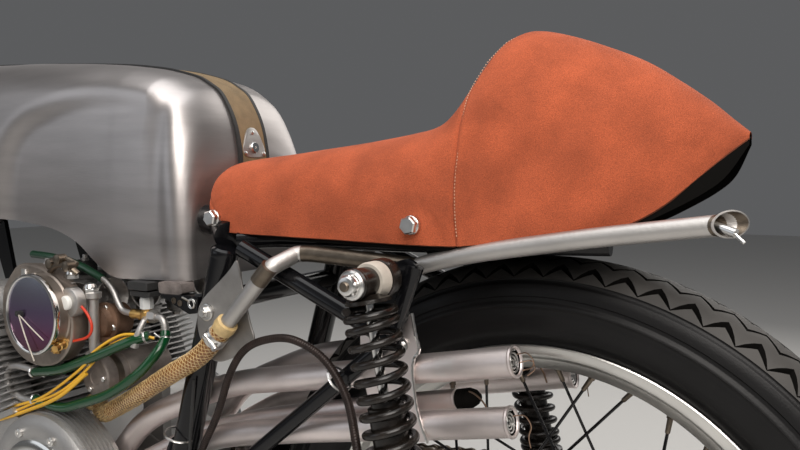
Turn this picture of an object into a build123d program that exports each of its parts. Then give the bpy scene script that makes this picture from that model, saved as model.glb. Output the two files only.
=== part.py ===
from build123d import *

import os
from math import acos, cos, pi, radians, sin, tan

# A cafe racer motorcycle standing on its centre stand. +X is forward, +Y is the rider's
# left and +Z is up. The origin is on the floor, midway along and across the machine.
# Lengths are millimetres.

# Driving sizes of the rolling chassis
wheelbase = 1380.0
rear_tyre_r = 324.0
front_tyre_r = 310.0
rear_lift = 12.0  # the stand holds the rear tyre this far over the floor
rake = 27.0  # degrees, steering axis from the vertical
fork_offset = 58.0  # stanchions ahead of the steering axis
fork_y = 88.0

rear_x = (rear_tyre_r - wheelbase - front_tyre_r) / 2
rear_z = rear_tyre_r + rear_lift
front_x = rear_x + wheelbase
front_z = front_tyre_r


# Heights over the rear axle are drawn for seat rails at this height. What stands above
# the waist rises with the rails when the rear tyre grows.
rail_z = 336.0
rail_over_tyre = 12.0
waist_z = 130.0
rise = rear_tyre_r + rail_over_tyre - rail_z


def at(x, y, z):
    """A place measured from the rear wheel's centre: ahead, left and up."""
    share = min(max((z - waist_z) / (rail_z - waist_z), 0), 1)
    return Vector(rear_x + x, y, rear_z + z + share * rise)


# Tubes and running fits
post_r = 15.0
spine_r = 16.0
rail_r = 8.0
skin = 0.3  # seam between pieces of different bodies or soft pieces
running_fit = 0.05  # radial clearance of a turning bore

# Wheels
seat_r = 232.0  # where the tyre's bead sits in the rim
flange_height = 11.0
flange_y = 31.0
flange_t = 3.5
well_depth = 15.0
well_y = 12.0
flange_r = seat_r + flange_height
rim_bore_r = seat_r - well_depth
wheel_flats = 32  # rings are drawn with flat sides
hub_flats = 16
rear_tyre_y = 44.5
front_tyre_y = 39.0
spoke_r = 1.8
spoke_count = 36
hub_flange_r = 97.0
hub_flange_t = 12.0
barrel_r = 72.0
drum_r = 90.0
hub_y = 34.0  # half of the hub's width
brake_plate_y = 40.0
brake_plate_t = 6.0
brake_boss_y = 66.0
axle_r = 8.5

# Final drive, on the right
chain_pitch = 15.875
rear_teeth = 38
front_teeth = 15
chain_y = -62.0
chain_plate_y = 8.5
chain_half_height = 7.5
gearbox_x = 500.0
gearbox_z = 12.0

# Swinging arm and shock absorbers
pivot_x = 440.0
pivot_z = 5.0
arm_y = 90.0
arm_r = 13.0
arm_end_y = 105.5
ear_t = 8.0
pivot_bolt_r = 9.0
shock_y = 146.0
shock_top = (114.0, 311.0)
shock_foot = (58.0, 14.0)
shock_eye_y = 12.5
shock_stud_r = 6.0
shock_top_stud_r = 7.0
spring_r = 24.5
spring_wire_r = 4.5
spring_seat_low = 22.0  # the upper seat's lower face, below the upper eye
spring_seat_up = 58.0  # the lower seat's upper face, above the lower eye
spring_turns = 12
coil_steps = 8

# Frame
post_y = 108.0
post_top = (318.0, 333.0)
post_foot = (393.0, 74.0)
rail_y = 110.0
rail_in_y = 78.0
plate_y = 106.5
plate_t = 6.0

mount_x, mount_z, mount_r = 446.0, -58.0, 9.0  # the frame's cross tube that holds the gearbox

# Exhausts
pipe_r = 13.6
hanger_y = 101.0
hanger_t = 3.0
thin_pipe_r = 11.0
pipe_y = 88.0
thin_pipe_y = 64.0

# Stand
stand_x = 420.0
stand_z = -82.0
stand_lead = 30.0  # the feet stand this far ahead of the stand's pivot
stand_bolt_r = 7.0
stand_leg_r = 11.0
foot_r = 13.0

parts = {}


def keep(name, *solids):
    """Files each piece under its name."""
    parts[name] = list(solids)


def tube(points, radius, sides=8):
    """A tube drawn with flat sides and mitred corners, which keeps its mesh small."""
    points = [Vector(*p) for p in points]
    start = Plane(origin=points[0], z_dir=points[1] - points[0])
    path = Polyline(*points) if len(points) > 2 else Line(*points)
    return sweep(start * RegularPolygon(radius, sides), path=path, transition=Transition.RIGHT)


def bar(a, b, radius, sides=8):
    """A straight tube or rod with flat sides."""
    a, b = Vector(*a), Vector(*b)
    return extrude(Plane(origin=a, z_dir=b - a) * RegularPolygon(radius, sides), (b - a).length)


def rod(a, b, radius):
    """A round bar from one point to another."""
    a, b = Vector(*a), Vector(*b)
    return extrude(Plane(origin=a, z_dir=b - a) * Circle(radius), (b - a).length)


def cross_bar(x, y0, y1, z, radius, sides=8):
    """A flat-sided bar across the machine."""
    return bar(at(x, y0, z), at(x, y1, z), radius, sides)


def cross_rod(x, y0, y1, z, radius, bore=0.0):
    """A round bar across the machine, placed from the rear wheel's centre."""
    bar = rod(at(x, y0, z), at(x, y1, z), radius)
    return bar - rod(at(x, y0, z), at(x, y1, z), bore) if bore else bar


def slab(outline, y0, y1):
    """A side outline of (ahead, up) points, made thick across the machine."""
    face = make_face(Polyline(*[at(x, y0, z) for x, z in outline], close=True))
    return extrude(face, amount=y1 - y0, dir=(0, 1, 0))


def skinned(rings):
    """A solid with flat faces through rings of equally many points, closed at both ends."""
    faces = [Face(Wire.make_polygon(rings[0])), Face(Wire.make_polygon(rings[-1]))]
    count = len(rings[0])
    for one, other in zip(rings, rings[1:]):
        for j in range(count):
            k = (j + 1) % count
            faces.append(Face(Wire.make_polygon([one[j], one[k], other[k]])))
            faces.append(Face(Wire.make_polygon([one[j], other[k], other[j]])))
    return Solid(Shell(faces))


def snug(radius, flats):
    """The corner radius of a flat-sided bore that just clears a round of this radius."""
    return radius / cos(pi / flats)


def ring(outline, centre, flats):
    """A flat-sided ring about a wheel's axle, from its (across, radius) outline."""
    stations = []
    for i in range(flats):
        a = 2 * pi * i / flats
        stations.append([centre + Vector(r * cos(a), y, r * sin(a)) for y, r in outline])
    faces = []
    for one, other in zip(stations, stations[1:] + stations[:1]):
        for j in range(len(outline)):
            k = (j + 1) % len(outline)
            faces.append(Face(Wire.make_polygon([one[j], one[k], other[k], other[j]])))
    return Solid(Shell(faces))


def mirrored(solid):
    return mirror(solid, about=Plane.XZ)


def both(solid):
    return [solid, mirrored(solid)]


rear_centre = Vector(rear_x, 0, rear_z)
front_centre = Vector(front_x, 0, front_z)


# Wheels
def tyre(outer_r, half_y, centre):
    """A road tyre: beads in the rim, bulging walls and a round crown."""
    bead_y = flange_y - flange_t
    height = outer_r - seat_r
    half = [(bead_y, seat_r), (bead_y, flange_r + 2)]
    for inset, share in ((0, 0.42), (0, 0.66), (7, 0.82), (0.52 * half_y, 0.952)):
        half.append((half_y - inset, seat_r + share * height))
    return ring(half + [(0, outer_r)] + [(-y, r) for y, r in half[::-1]], centre, wheel_flats)


def rim(centre):
    """A deep aluminium rim with rolled flanges and a dropped middle."""
    lip_y = flange_y - flange_t
    half = [(lip_y, seat_r), (lip_y, flange_r), (flange_y, flange_r),
            (flange_y, seat_r - 1), (well_y, rim_bore_r)]
    return ring(half + [(-y, r) for y, r in half[::-1]], centre, wheel_flats)


def spoke(centre, index):
    """One tangential spoke: even ones on the left flange, in crossing pairs."""
    side = 1 if index % 2 == 0 else -1
    lean = 1 if index % 4 < 2 else -1
    angle = 2 * pi * index / spoke_count
    foot = angle + lean * radians(38)
    inner_y = side * (hub_y - hub_flange_t / 2 + lean * 3)
    hub_r = hub_flange_r - 4
    end_r = rim_bore_r * cos(pi / wheel_flats) - 0.6
    a = Vector(hub_r * cos(foot), inner_y, hub_r * sin(foot))
    b = Vector(end_r * cos(angle), side * 4, end_r * sin(angle))
    start = Plane(origin=centre + a, z_dir=b - a)
    return extrude(start * RegularPolygon(spoke_r, 3), (b - a).length)


def hub(centre, bore_r):
    """A full-width drum with two spoke flanges, its spokes fused to it."""
    edge_y = hub_y - hub_flange_t
    half = [(hub_y, snug(bore_r, hub_flats)), (hub_y, hub_flange_r), (edge_y, hub_flange_r),
            (edge_y - 4, barrel_r)]
    drum = ring(half + [(-y, r) for y, r in half[::-1]], centre, hub_flats)
    return drum.fuse(*[spoke(centre, i) for i in range(spoke_count)])


keep("rear_tyre", tyre(rear_tyre_r, rear_tyre_y, rear_centre))
keep("rear_rim", rim(rear_centre))
keep("rear_hub", hub(rear_centre, axle_r + running_fit))
keep("front_tyre", tyre(front_tyre_r, front_tyre_y, front_centre))
keep("front_rim", rim(front_centre))
keep("front_hub", hub(front_centre, axle_r + running_fit))


# Final drive
def pitch_radius(teeth):
    return chain_pitch / (2 * sin(pi / teeth))


rear_sprocket_r = pitch_radius(rear_teeth)
front_sprocket_r = pitch_radius(front_teeth)


def sprocket(x, z, teeth, bore_r, thickness=6.0):
    """A toothed wheel whose tips turn just under the chain's rollers."""
    tip_r = pitch_radius(teeth) - 5.6
    root_r = tip_r - 4
    step = 2 * pi / teeth
    outline = []
    for i in range(teeth):
        for r, share in ((root_r, -0.5), (tip_r, 0.0)):
            a = (i + share) * step
            outline.append((x + r * cos(a), z + r * sin(a)))
    plate = slab(outline, chain_y - thickness / 2, chain_y + thickness / 2)
    return plate - cross_bar(x, chain_y - thickness, chain_y + thickness, z, bore_r, 12)


chain_arcs = ((0.0, 0.0, rear_sprocket_r, 14), (gearbox_x, gearbox_z, front_sprocket_r, 8))


def band(offset):
    """The chain's path round both sprockets, grown by an offset, with flat sides."""
    run = Vector(gearbox_x, gearbox_z)
    lean = acos((rear_sprocket_r - front_sprocket_r) / run.length)
    tilt = radians(run.get_angle(Vector(1, 0)))
    outline = []
    for (x, z, r, steps), start, end in zip(chain_arcs, (lean, -lean), (2 * pi - lean, lean)):
        step = (end - start) / steps
        corner_r = (r + offset) / cos(step / 2)
        for i in range(steps):
            a = tilt + start + (i + 0.5) * step
            outline.append((x + corner_r * cos(a), z + corner_r * sin(a)))
    return make_face(Polyline(*outline, close=True))


def chain():
    """An endless roller chain: side plates and the rollers between them."""
    drawing = Plane(at(0, chain_y, 0), x_dir=(1, 0, 0), z_dir=(0, -1, 0))
    half = chain_plate_y
    outer = drawing * (band(chain_half_height) - band(-chain_half_height))
    core = drawing * (band(5.0) - band(-5.0))
    plates = extrude(outer, half, both=True) - extrude(outer, half - 3, both=True)
    return plates + extrude(core, half - 2, both=True)


spider = sprocket(0, 0, rear_teeth, axle_r + 12)
carrier = cross_bar(0, chain_y + 3, -hub_y, 0, 50, 16)
carrier -= cross_bar(0, chain_y, 0, 0, axle_r + 12, 12)
keep("rear_sprocket", spider + carrier)
keep("drive_chain", chain())
keep("front_sprocket", sprocket(gearbox_x, gearbox_z, front_teeth, 9.0))


# Swinging arm, axle and shock absorbers
def swing_arm():
    """Pivot tube, two legs with flat ends for the axle, and the lower shock studs."""
    stud_x, stud_z = shock_foot
    pieces = [cross_bar(pivot_x, -arm_end_y, arm_end_y, pivot_z, 21, 10)]
    ear = [(76, -11), (76, 11), (30, 19), (-24, 19), (-34, 8), (-34, -8), (-24, -19), (30, -19)]
    for side in (1, -1):
        y = side * arm_y
        pieces.append(bar(at(pivot_x - 4, y, pivot_z), at(52, y, 0.6), arm_r))
        pieces.append(slab(ear, y - ear_t / 2, y + ear_t / 2))
        boss_end = shock_y - shock_eye_y - 0.2
        pieces.append(cross_bar(stud_x, y + side, side * boss_end, stud_z, 11))
        pieces.append(cross_bar(stud_x, y + side * 10, side * (shock_y + 20), stud_z,
                                shock_stud_r))
    solid = pieces[0].fuse(*pieces[1:])
    solid -= cross_bar(pivot_x, -arm_y - 30, arm_y + 30, pivot_z, pivot_bolt_r)
    return solid - cross_bar(0, -arm_y - 10, arm_y + 10, 0, axle_r, 12)


nut_t = 12.0
axle_end = 14.0  # how far an axle sticks out of its nut


def wheel_axle(centre, left_in, right_in, seat_in, seat_out):
    """An axle with its nuts outside the seats and its spacers inside them."""
    shaft_y = Vector(0, seat_out + nut_t, 0)
    solid = bar(centre - shaft_y, centre + shaft_y, axle_r, 12)
    for side, inner in ((1, left_in), (-1, right_in)):
        out = Vector(0, side, 0)
        solid += rod(centre + out * (seat_out + nut_t), centre + out * (seat_out + nut_t + axle_end),
                     axle_r)
        solid += bar(centre + out * seat_out, centre + out * (seat_out + nut_t), 15, 6)
        solid += bar(centre + out * inner, centre + out * seat_in, 14)
    return solid


def brake_plate(centre, side, boss_y):
    """The fixed side of a drum brake: a dished plate, its boss and the cam's lever."""
    inner = brake_plate_y
    outline = [
        (inner, snug(axle_r, hub_flats)), (inner, drum_r), (inner + brake_plate_t, drum_r - 8),
        (inner + brake_plate_t, 30), (boss_y, 19), (boss_y, snug(axle_r, hub_flats)),
    ]
    if side < 0:
        outline = [(-y, r) for y, r in outline]
    plate = ring(outline, centre, hub_flats)
    cam = centre + Vector(-44, 0, 40)
    lever = centre + Vector(-26, 0, 118)
    y0 = side * (inner + brake_plate_t - 1)
    spindle = bar(cam + Vector(0, y0, 0), cam + Vector(0, y0 + side * 16, 0), 7)
    arm_y0 = y0 + side * 9
    arm = bar(cam + Vector(0, arm_y0, 0), lever + Vector(0, arm_y0, 0), 4.5, 6)
    return plate.fuse(spindle, arm)


keep("rear_brake", brake_plate(rear_centre, 1, brake_boss_y))
keep("rear_axle", wheel_axle(rear_centre, brake_boss_y, hub_y + 1, arm_y - ear_t / 2,
                             arm_y + ear_t / 2))
keep("swinging_arm", swing_arm())
pivot_bolt = cross_bar(pivot_x, -plate_y - 18, plate_y + 18, pivot_z, pivot_bolt_r)
for side in (1, -1):
    pivot_bolt += cross_bar(pivot_x, side * (plate_y + plate_t), side * (plate_y + 15),
                            pivot_z, 15, 6)


top = at(shock_top[0], shock_y, shock_top[1])
foot = at(shock_foot[0], shock_y, shock_foot[1])
shock_length = (top - foot).length
shock_dir = (foot - top).normalized()


def down_shock(distance):
    """A point on the left shock absorber, this far below its upper eye."""
    return top + shock_dir * distance


def damper():
    """Eyes, rod, spring seats and damper body of one shock absorber."""
    body_top = shock_length * 0.53
    seat = shock_length - spring_seat_up
    lengths = (  # from, to, radius
        (10, body_top + 5, 5.5),
        (spring_seat_low - 5, spring_seat_low, spring_r),
        (body_top, shock_length - 24, 14.5),
        (shock_length - 26, shock_length - 8, 9),
        (seat, seat + 5, spring_r),
    )
    pieces = [bar(down_shock(a), down_shock(b), r) for a, b, r in lengths]
    for x, z in (shock_top, shock_foot):
        pieces.append(cross_bar(x, shock_y - shock_eye_y, shock_y + shock_eye_y, z, 16))
    solid = pieces[0].fuse(*pieces[1:])
    for (x, z), stud_r in ((shock_top, shock_top_stud_r), (shock_foot, shock_stud_r)):
        solid -= cross_bar(x, shock_y - 30, shock_y + 30, z, stud_r)
    return solid


def spring():
    """A coil of wire between the two spring seats, in straight lengths."""
    start = spring_seat_low + spring_wire_r + skin
    height = shock_length - spring_seat_up - spring_wire_r - 2 * skin - start
    coil_r = spring_r - spring_wire_r
    frame = Plane(origin=down_shock(start), x_dir=(0, 1, 0), z_dir=shock_dir)
    count = spring_turns * coil_steps
    route = []
    for i in range(count + 1):
        a = 2 * pi * i / coil_steps
        route.append(frame.from_local_coords(
            Vector(coil_r * cos(a), coil_r * sin(a), height * i / count)))
    return tube(route, spring_wire_r, 3)


keep("shock_dampers", *both(damper()))
keep("shock_springs", *both(spring()))


# Frame
def head_point(z):
    """A point on the steering axis at this height over the floor."""
    axle_back = fork_offset / cos(radians(rake))
    return Vector(front_x - axle_back - (z - front_z) * tan(radians(rake)), 0, z)


head_foot_z = 762.0
head_top_z = 872.0
head_r = 24.0
head_bore_r = 15.0
steer_dir = (head_point(head_top_z) - head_point(head_foot_z)).normalized()


nose_gap = 118.6  # from the steering head's foot back to the tank's nose
tank_nose_x = head_point(head_foot_z).X - rear_x - nose_gap


def forward(share, y, z):
    """A place this share of the way from the seat posts' tops to the tank's nose."""
    return at(post_top[0] + share * (tank_nose_x - post_top[0]), y, z)


def frame_spine():
    """Steering head and the two upper tubes that spread to the seat posts."""
    head = bar(head_point(head_foot_z), head_point(head_top_z), head_r, 12)
    tubes = []
    upper = head_point(head_top_z - 26)
    lower = head_point(head_foot_z + 20)
    for side in (1, -1):
        start = Vector(upper.X, side * 10, upper.Z)
        route = [start, forward(0.898, side * 52, 462), forward(0.682, side * 66, 395),
                 at(355, side * 76, 352), at(post_top[0] + 2, side * (post_y - 6), 338)]
        tubes.append(tube(route, spine_r))
        brace = [Vector(lower.X, side * 10, lower.Z), forward(0.906, side * 60, 360),
                 forward(0.744, side * 64, 335), forward(0.651, side * 66, 388)]
        tubes.append(tube(brace, 11))
        hanger = [(776, 340), (812, 340), (766, 230), (736, 230)]
        tubes.append(slab(hanger, *sorted((side * 60, side * 66))))
    body = head.fuse(*tubes)
    return body - bar(head_point(head_foot_z - 20), head_point(head_top_z + 20),
                      snug(head_bore_r, 12), 12)


def frame_posts():
    """Seat posts, their cross tubes and the plates that hold the pivots."""
    pieces = []
    for side in (1, -1):
        pieces.append(bar(at(post_top[0], side * post_y, post_top[1]),
                          at(post_foot[0], side * post_y, post_foot[1]), post_r))
        plate = [(372, 112), (404, 112), (428, 60), (468, 34), (468, -28), (440, -60),
                 (440, -104), (400, -104), (400, -40), (384, 20)]
        y0 = side * plate_y
        pieces.append(slab(plate, *sorted((y0, y0 + side * plate_t))))
    pieces.append(cross_bar(337, -post_y, post_y, 268, 12))
    pieces.append(cross_bar(mount_x, -plate_y - 1, plate_y + 1, mount_z, mount_r))
    body = pieces[0].fuse(*pieces[1:])
    body -= cross_bar(pivot_x, -140, 140, pivot_z, pivot_bolt_r)
    return body - cross_bar(stand_x, -140, 140, stand_z, snug(stand_bolt_r, 8))


def frame_rear(side):
    """Seat rail, two diagonals, the stay and the lug that takes the shock absorber."""
    y = side * rail_y
    joint = at(118, y, 252)
    rail = [at(308, side * 102, 334), at(262, side * rail_in_y, 336),
            at(90, side * rail_in_y, 338), at(-70, side * (rail_in_y - 8), 343)]
    solid = tube(rail, 9)
    solid += bar(at(296, y, 330), joint, 9, 6)
    solid += bar(joint, at(384, y, 30), rail_r, 6)
    solid += bar(at(84, y, 340), joint, rail_r, 6)
    lug = [(86, 328), (100, 334), (150, 312), (150, 278), (124, 250), (104, 262)]
    solid += slab(lug, *sorted((y - side * 3, y + side * 3)))
    stud_x, stud_z = shock_top
    solid += cross_bar(stud_x, y, side * (shock_y - shock_eye_y - 0.2), stud_z, 13)
    solid += cross_bar(stud_x, y, side * (shock_y + 24), stud_z, shock_top_stud_r)
    return solid + cross_bar(118, side * hanger_y, y, 250, 9)


posts = frame_posts()
spine = frame_spine() - posts
keep("frame_posts", posts)
rear_cross = cross_bar(84, -rail_y, rail_y, 341, rail_r)
keep("frame_rear", rear_cross.fuse(frame_rear(1), frame_rear(-1)) - posts - spine)


# Exhausts
pipe_down = ((546, 92), (514, 92), (482, 92))  # where each pipe drops, (ahead, across)
header_y = (26, 78, 130)
port_x = 764.0
port_z = 206.0
under_z = (-128, -158, -188)


def exhaust(side):
    """Three thin pipes from the head, under the sump and up beside the rear wheel."""
    rear = (
        [(6, pipe_y, 242), (200, 82, 204), (345, 75, 172)],
        [(60, thin_pipe_y, 194), (165, 62, 176), (322, 54, 130)],
        [(9, pipe_y, 188), (90, 87, 181), (215, 83, 150)],
    )
    middle = (
        [(470, 88, 116), (546, 92, 30)],
        [(400, 74, 106), (500, 92, 50)],
        [(352, 75, 112), (408, 78, 90), (440, 88, 70), (480, 92, 28)],
    )
    pipes = []
    for i in range(3):
        drop = pipe_down[i][0]
        nose_x = 838 - 4 * i
        under = [(drop, 92, under_z[i] + 22), (drop + 22, 92, under_z[i])]
        nose = [(nose_x - 24, header_y[i], under_z[i]), (nose_x, header_y[i], under_z[i] + 24),
                (nose_x, header_y[i], 150), (port_x, header_y[i], port_z)]
        route = [at(x, side * y, z) for x, y, z in rear[i] + middle[i] + under + nose]
        radius = thin_pipe_r if i == 1 else pipe_r
        end = (route[0] - route[1]).normalized()
        pipe = tube(route, radius)
        pipe -= bar(route[0] + end * 2, route[0] - end * 90, radius - 1.6, 8)
        pipes.append(pipe)
    hanger = slab([(150, 276), (92, 276), (90, 232), (78, 168), (124, 160), (150, 224)],
                  *sorted((side * (hanger_y - hanger_t), side * hanger_y)))
    upper = pipes[0] + hanger
    return upper + pipes[2], pipes[1]


keep("exhaust_left", *exhaust(1))
keep("exhaust_right", *exhaust(-1))

# Engine
crank_y = 150.0
head_lean = 22.0
crank_x = 630.0
crank_z = 15.0


def engine_plane(y=0.0):
    """Origin on the crank's line, with up along the leaning cylinders."""
    lean = radians(head_lean)
    across = (cos(lean), 0, -sin(lean))
    return Plane(origin=at(crank_x, y, crank_z), x_dir=across, z_dir=(0, -1, 0))


case_outline = [(572, 40), (600, 92), (636, 112), (716, 80), (752, 30), (760, -60), (728, -112),
                (600, -112), (572, -84)]
gearbox_outline = [(466, 36), (480, 64), (520, 78), (572, 60), (572, -100), (520, -100), (474, -60)]
gearbox_y = 48.0
generator_x = 507.0
generator_z = 168.0
generator_r = 24.0
generator_y = (34.0, 130.0)  # its inner and outer ends
generator = cross_bar(generator_x, *generator_y, generator_z, generator_r, 16)
cradle = [(generator_x - 18, 66), (generator_x + 18, 66), (generator_x + 18, generator_z - 4),
          (generator_x - 18, generator_z - 4)]
mount_lug = [(484, -40), (mount_x + 2, mount_z + 15), (mount_x - 12, mount_z + 6),
             (mount_x - 10, mount_z - 6), (mount_x + 4, mount_z - 14), (484, -76)]
crankcase = slab(case_outline, -crank_y, crank_y)
crankcase += slab(gearbox_outline, -gearbox_y, gearbox_y)
crankcase += slab(cradle, generator_y[0], gearbox_y)
crankcase += slab(mount_lug, -20, 20)
crankcase -= generator
crankcase -= cross_bar(mount_x, -plate_y, plate_y, mount_z, mount_r)


def leaned(x0, x1, z0, z1, half_y):
    """A block in the cylinders' own leaning frame."""
    outline = engine_plane(half_y) * Pos((x0 + x1) / 2, (z0 + z1) / 2)
    return extrude(outline * Rectangle(x1 - x0, z1 - z0), 2 * half_y)


barrel_x = 44.0
barrel_foot = 92.0
barrel_top = 186.0
head_top = 250.0
fin_step = 8.0
fin_t = 2.4
block_y = 160.0
barrels = leaned(-barrel_x + 10, barrel_x - 10, barrel_foot, barrel_top, block_y - 8)
fins = []
fin_z = barrel_foot + 8
while fin_z + fin_t < barrel_top:
    fins.append(leaned(-barrel_x, barrel_x, fin_z, fin_z + fin_t, block_y))
    fin_z += fin_step
keep("cylinders", barrels.fuse(*fins) - crankcase)
head = leaned(-barrel_x - 2, barrel_x + 2, barrel_top, head_top - 14, block_y)
for x in (-30, 30):
    cam = engine_plane(block_y - 2) * Pos(x, head_top - 8) * RegularPolygon(20, 10)
    head += extrude(cam, 2 * (block_y - 2))
keep("cylinder_head", head)
keep("frame_spine", spine - head)

carb_pitch = 52.0
carbs = []
for i in range(6):
    y = carb_pitch * (i - 2.5)
    body = bar(at(690, y, 242), at(560, y, 252), 17, 6) - head
    horn = bar(at(562, y, 252), at(538, y, 253), 21, 8)
    bowl = bar(at(592, y, 250), at(594, y, 206), 16, 6)
    dome = bar(at(592, y, 254), at(588, y, 296), 15, 6)
    carbs.append(body.fuse(horn, bowl, dome))
rack = cross_bar(608, -140, 140, 272, 6)
carburettors = carbs[0].fuse(*carbs[1:], rack)
keep("carburettors", carburettors)
keep("carburettor_cover", cross_bar(566, 146, 170, 243, 47, 20) - carburettors)
keep("generator", generator)
keep("left_case", cross_bar(572, 110, crank_y + 14, 24, 98, 24) - crankcase)
keep("right_case", cross_bar(crank_x, -crank_y, -crank_y - 14, crank_z, 88, 24))


# Tank, seat and what holds them
tank_back_x = 375.0
tank_wall = 14.0
knee_depth = 13.0
nose_tunnel_y = 78.0


def tank_x(share):
    """How far ahead of the rear axle this share of the tank's length is."""
    return tank_back_x + share * (tank_nose_x - tank_back_x)


def tank_sections():
    """Upright sections: ahead, bottom, top, half width, height and depth of the knee recess."""
    table = (  # share of the tank's length, and the rest
        (0.0, 288, 408, 97, 380, 0), (0.007, 287, 440, 108, 405, 0),
        (0.025, 286, 478, 118, 440, 6), (0.054, 285.5, 503, 126, 484, knee_depth),
        (0.11, 285, 519, 130.5, 507, knee_depth), (0.173, 284, 529, 132, 512, knee_depth),
        (0.22, 294, 534, 132, 514, knee_depth), (0.316, 332, 541, 132, 509, knee_depth),
        (0.448, 342, 548, 132, 492, knee_depth), (0.533, 346, 551, 132, 450, 12),
        (0.592, 350, 553, 131.5, 400, 0), (0.753, 372, 560, 128, 480, 0),
        (0.848, 392, 562, 120, 490, 0), (0.956, 424, 540, 92, 496, 0),
        (1.0, 464, 508, 62, 492, 0),
    )
    return [(tank_x(share), *rest) for share, *rest in table]


def tank():
    """The tank's skin with its knee recesses, over a tunnel for the frame."""
    rings = []
    for x, low, high, half, knee_z, depth in tank_sections():
        rise_to = high - low
        left = [(0.88 * half - depth * 0.6, low), (half - depth, low + 0.1 * rise_to),
                (half - depth, knee_z - 10), (half, knee_z + 2),
                (0.87 * half, high - 0.13 * rise_to), (0.5 * half, high - 0.01 * rise_to)]
        left = [(y, min(z, high - 0.2 * rise_to) if j in (2, 3) else z)
                for j, (y, z) in enumerate(left)]
        rings.append([at(x, y, z) for y, z in left + [(-y, z) for y, z in left[::-1]]])
    tunnel_y = tank_sections()[1][3] - tank_wall
    tunnel = [(300, 270), (300, 394), (tank_x(0.55), 432), (tank_x(0.753), 474), (tank_x(0.753), 270)]
    nose_tunnel = [tunnel[4], tunnel[3], (tank_x(0.82), 488), (tank_x(1.06), 548), (tank_x(1.06), 270)]
    solid = skinned(rings) - slab(tunnel, -tunnel_y, tunnel_y)
    return solid - slab(nose_tunnel, -nose_tunnel_y, nose_tunnel_y)


keep("fuel_tank", tank())


def seat():
    """The seat and its hump, hollow under the tail."""
    sections = (  # ahead, bottom, top, half width
        (347, 343, 398, 105), (337, 342, 415, 109), (249, 341, 427, 111), (172, 340, 436, 111),
        (104, 339, 448, 111), (84, 339, 459, 110), (60, 339, 496, 107), (38, 340, 526, 103),
        (-6, 343, 530, 96), (-60, 352, 511, 88), (-107, 372, 484, 74), (-140, 394, 460, 52),
        (-166, 426, 438, 16),
    )
    shape = ((0.84, 0.0), (1.0, 0.3), (0.98, 0.62), (0.8, 0.88), (0.42, 1.0))
    rings = []
    for x, low, high, half in sections:
        left = [(half * wide, low + (high - low) * up) for wide, up in shape]
        rings.append([at(x, y, z) for y, z in left + [(-y, z) for y, z in left[::-1]]])
    hollow = [(40, 330), (40, 470), (-40, 462), (-100, 440), (-138, 410), (-138, 330)]
    return skinned(rings) - slab(hollow, -60, 60)


seat_solid = seat()
for name in ("frame_spine", "frame_posts", "frame_rear"):
    for solid in parts[name]:
        seat_solid -= solid
keep("seat", seat_solid)

# Fork and steering
stem_gap = 0.05
top_yoke_z = 896.0
low_yoke_z = 742.0


def leg_point(z, y):
    """A point on a fork stanchion's axis at this height over the floor."""
    return Vector(front_x - (z - front_z) * tan(radians(rake)), y, z)


stem = bar(head_point(low_yoke_z), head_point(top_yoke_z + 12), head_bore_r - stem_gap, 12)


yoke_eye_r = 27.0


def yoke(z, thickness):
    """A clamp that joins both stanchions to the steering stem."""
    plate = Plane(origin=head_point(z), x_dir=(0, 1, 0), z_dir=steer_dir)
    corner = 0.41 * yoke_eye_r
    left = [(fork_y + corner, -fork_offset - yoke_eye_r), (fork_y + yoke_eye_r, -fork_offset - corner),
            (fork_y + yoke_eye_r, corner - fork_offset), (fork_y + corner, yoke_eye_r - fork_offset),
            (12, 24)]
    outline = left + [(-y, x) for y, x in left[::-1]]
    return extrude(plate * make_face(Polyline(*outline, close=True)), thickness)


stanchion_r = 17.5
slider_r = 23.0
slider_top_z = 560.0
yokes = yoke(low_yoke_z - 14, 24).fuse(yoke(top_yoke_z, 14), stem)
stanchions = []
sliders = []
lug_half = 23.5  # half of a slider's lug for the axle
for side in (1, -1):
    y = side * fork_y
    stanchions.append(bar(leg_point(slider_top_z, y), leg_point(942, y), stanchion_r, 12))
    slider = bar(leg_point(front_z - 12, y), leg_point(slider_top_z, y), slider_r)
    lug = bar(Vector(front_x, y - lug_half, front_z), Vector(front_x, y + lug_half, front_z), 21)
    sliders.append(slider + lug)
for stanchion in stanchions:
    yokes -= stanchion
axle_hole = bar((front_x, -140, front_z), (front_x, 140, front_z), axle_r, 12)
sliders = [slider - axle_hole for slider in sliders]
keep("yokes", yokes)
keep("fork_stanchions", *stanchions)
keep("fork_sliders", *sliders)
front_boss_y = 60.0
keep("front_brakes", brake_plate(front_centre, 1, front_boss_y),
     brake_plate(front_centre, -1, front_boss_y))
keep("front_axle", wheel_axle(front_centre, front_boss_y, front_boss_y, fork_y - lug_half,
                              fork_y + lug_half))


def handlebar(side):
    """A clip-on bar: a split clamp on the stanchion, the bar and its grip."""
    clamp_z = 866.0
    centre = leg_point(clamp_z, side * fork_y)
    low, high = leg_point(clamp_z - 14, side * fork_y), leg_point(clamp_z + 14, side * fork_y)
    clamp = bar(low, high, 27)
    tip = centre + Vector(-62, side * 250, -30)
    handle = bar(centre + Vector(16, 0, 0), tip, 11)
    grip_start = centre + (tip - centre) * 0.48
    grip = bar(grip_start, tip + (tip - centre).normalized() * 4, 16)
    perch = centre + (tip - centre) * 0.40
    lever_root = perch + Vector(34, side * 4, 0)
    solid = clamp.fuse(handle, grip)
    solid += bar(perch, lever_root, 8, 6)
    solid += tube([lever_root - Vector(0, side * 8, 0), lever_root + Vector(-8, side * 60, -8),
                   lever_root + Vector(-26, side * 128, -16)], 4.5, 6)
    return solid - bar(low - (high - low), high + (high - low), stanchion_r, 12)


keep("handlebars", handlebar(1), handlebar(-1))


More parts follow.
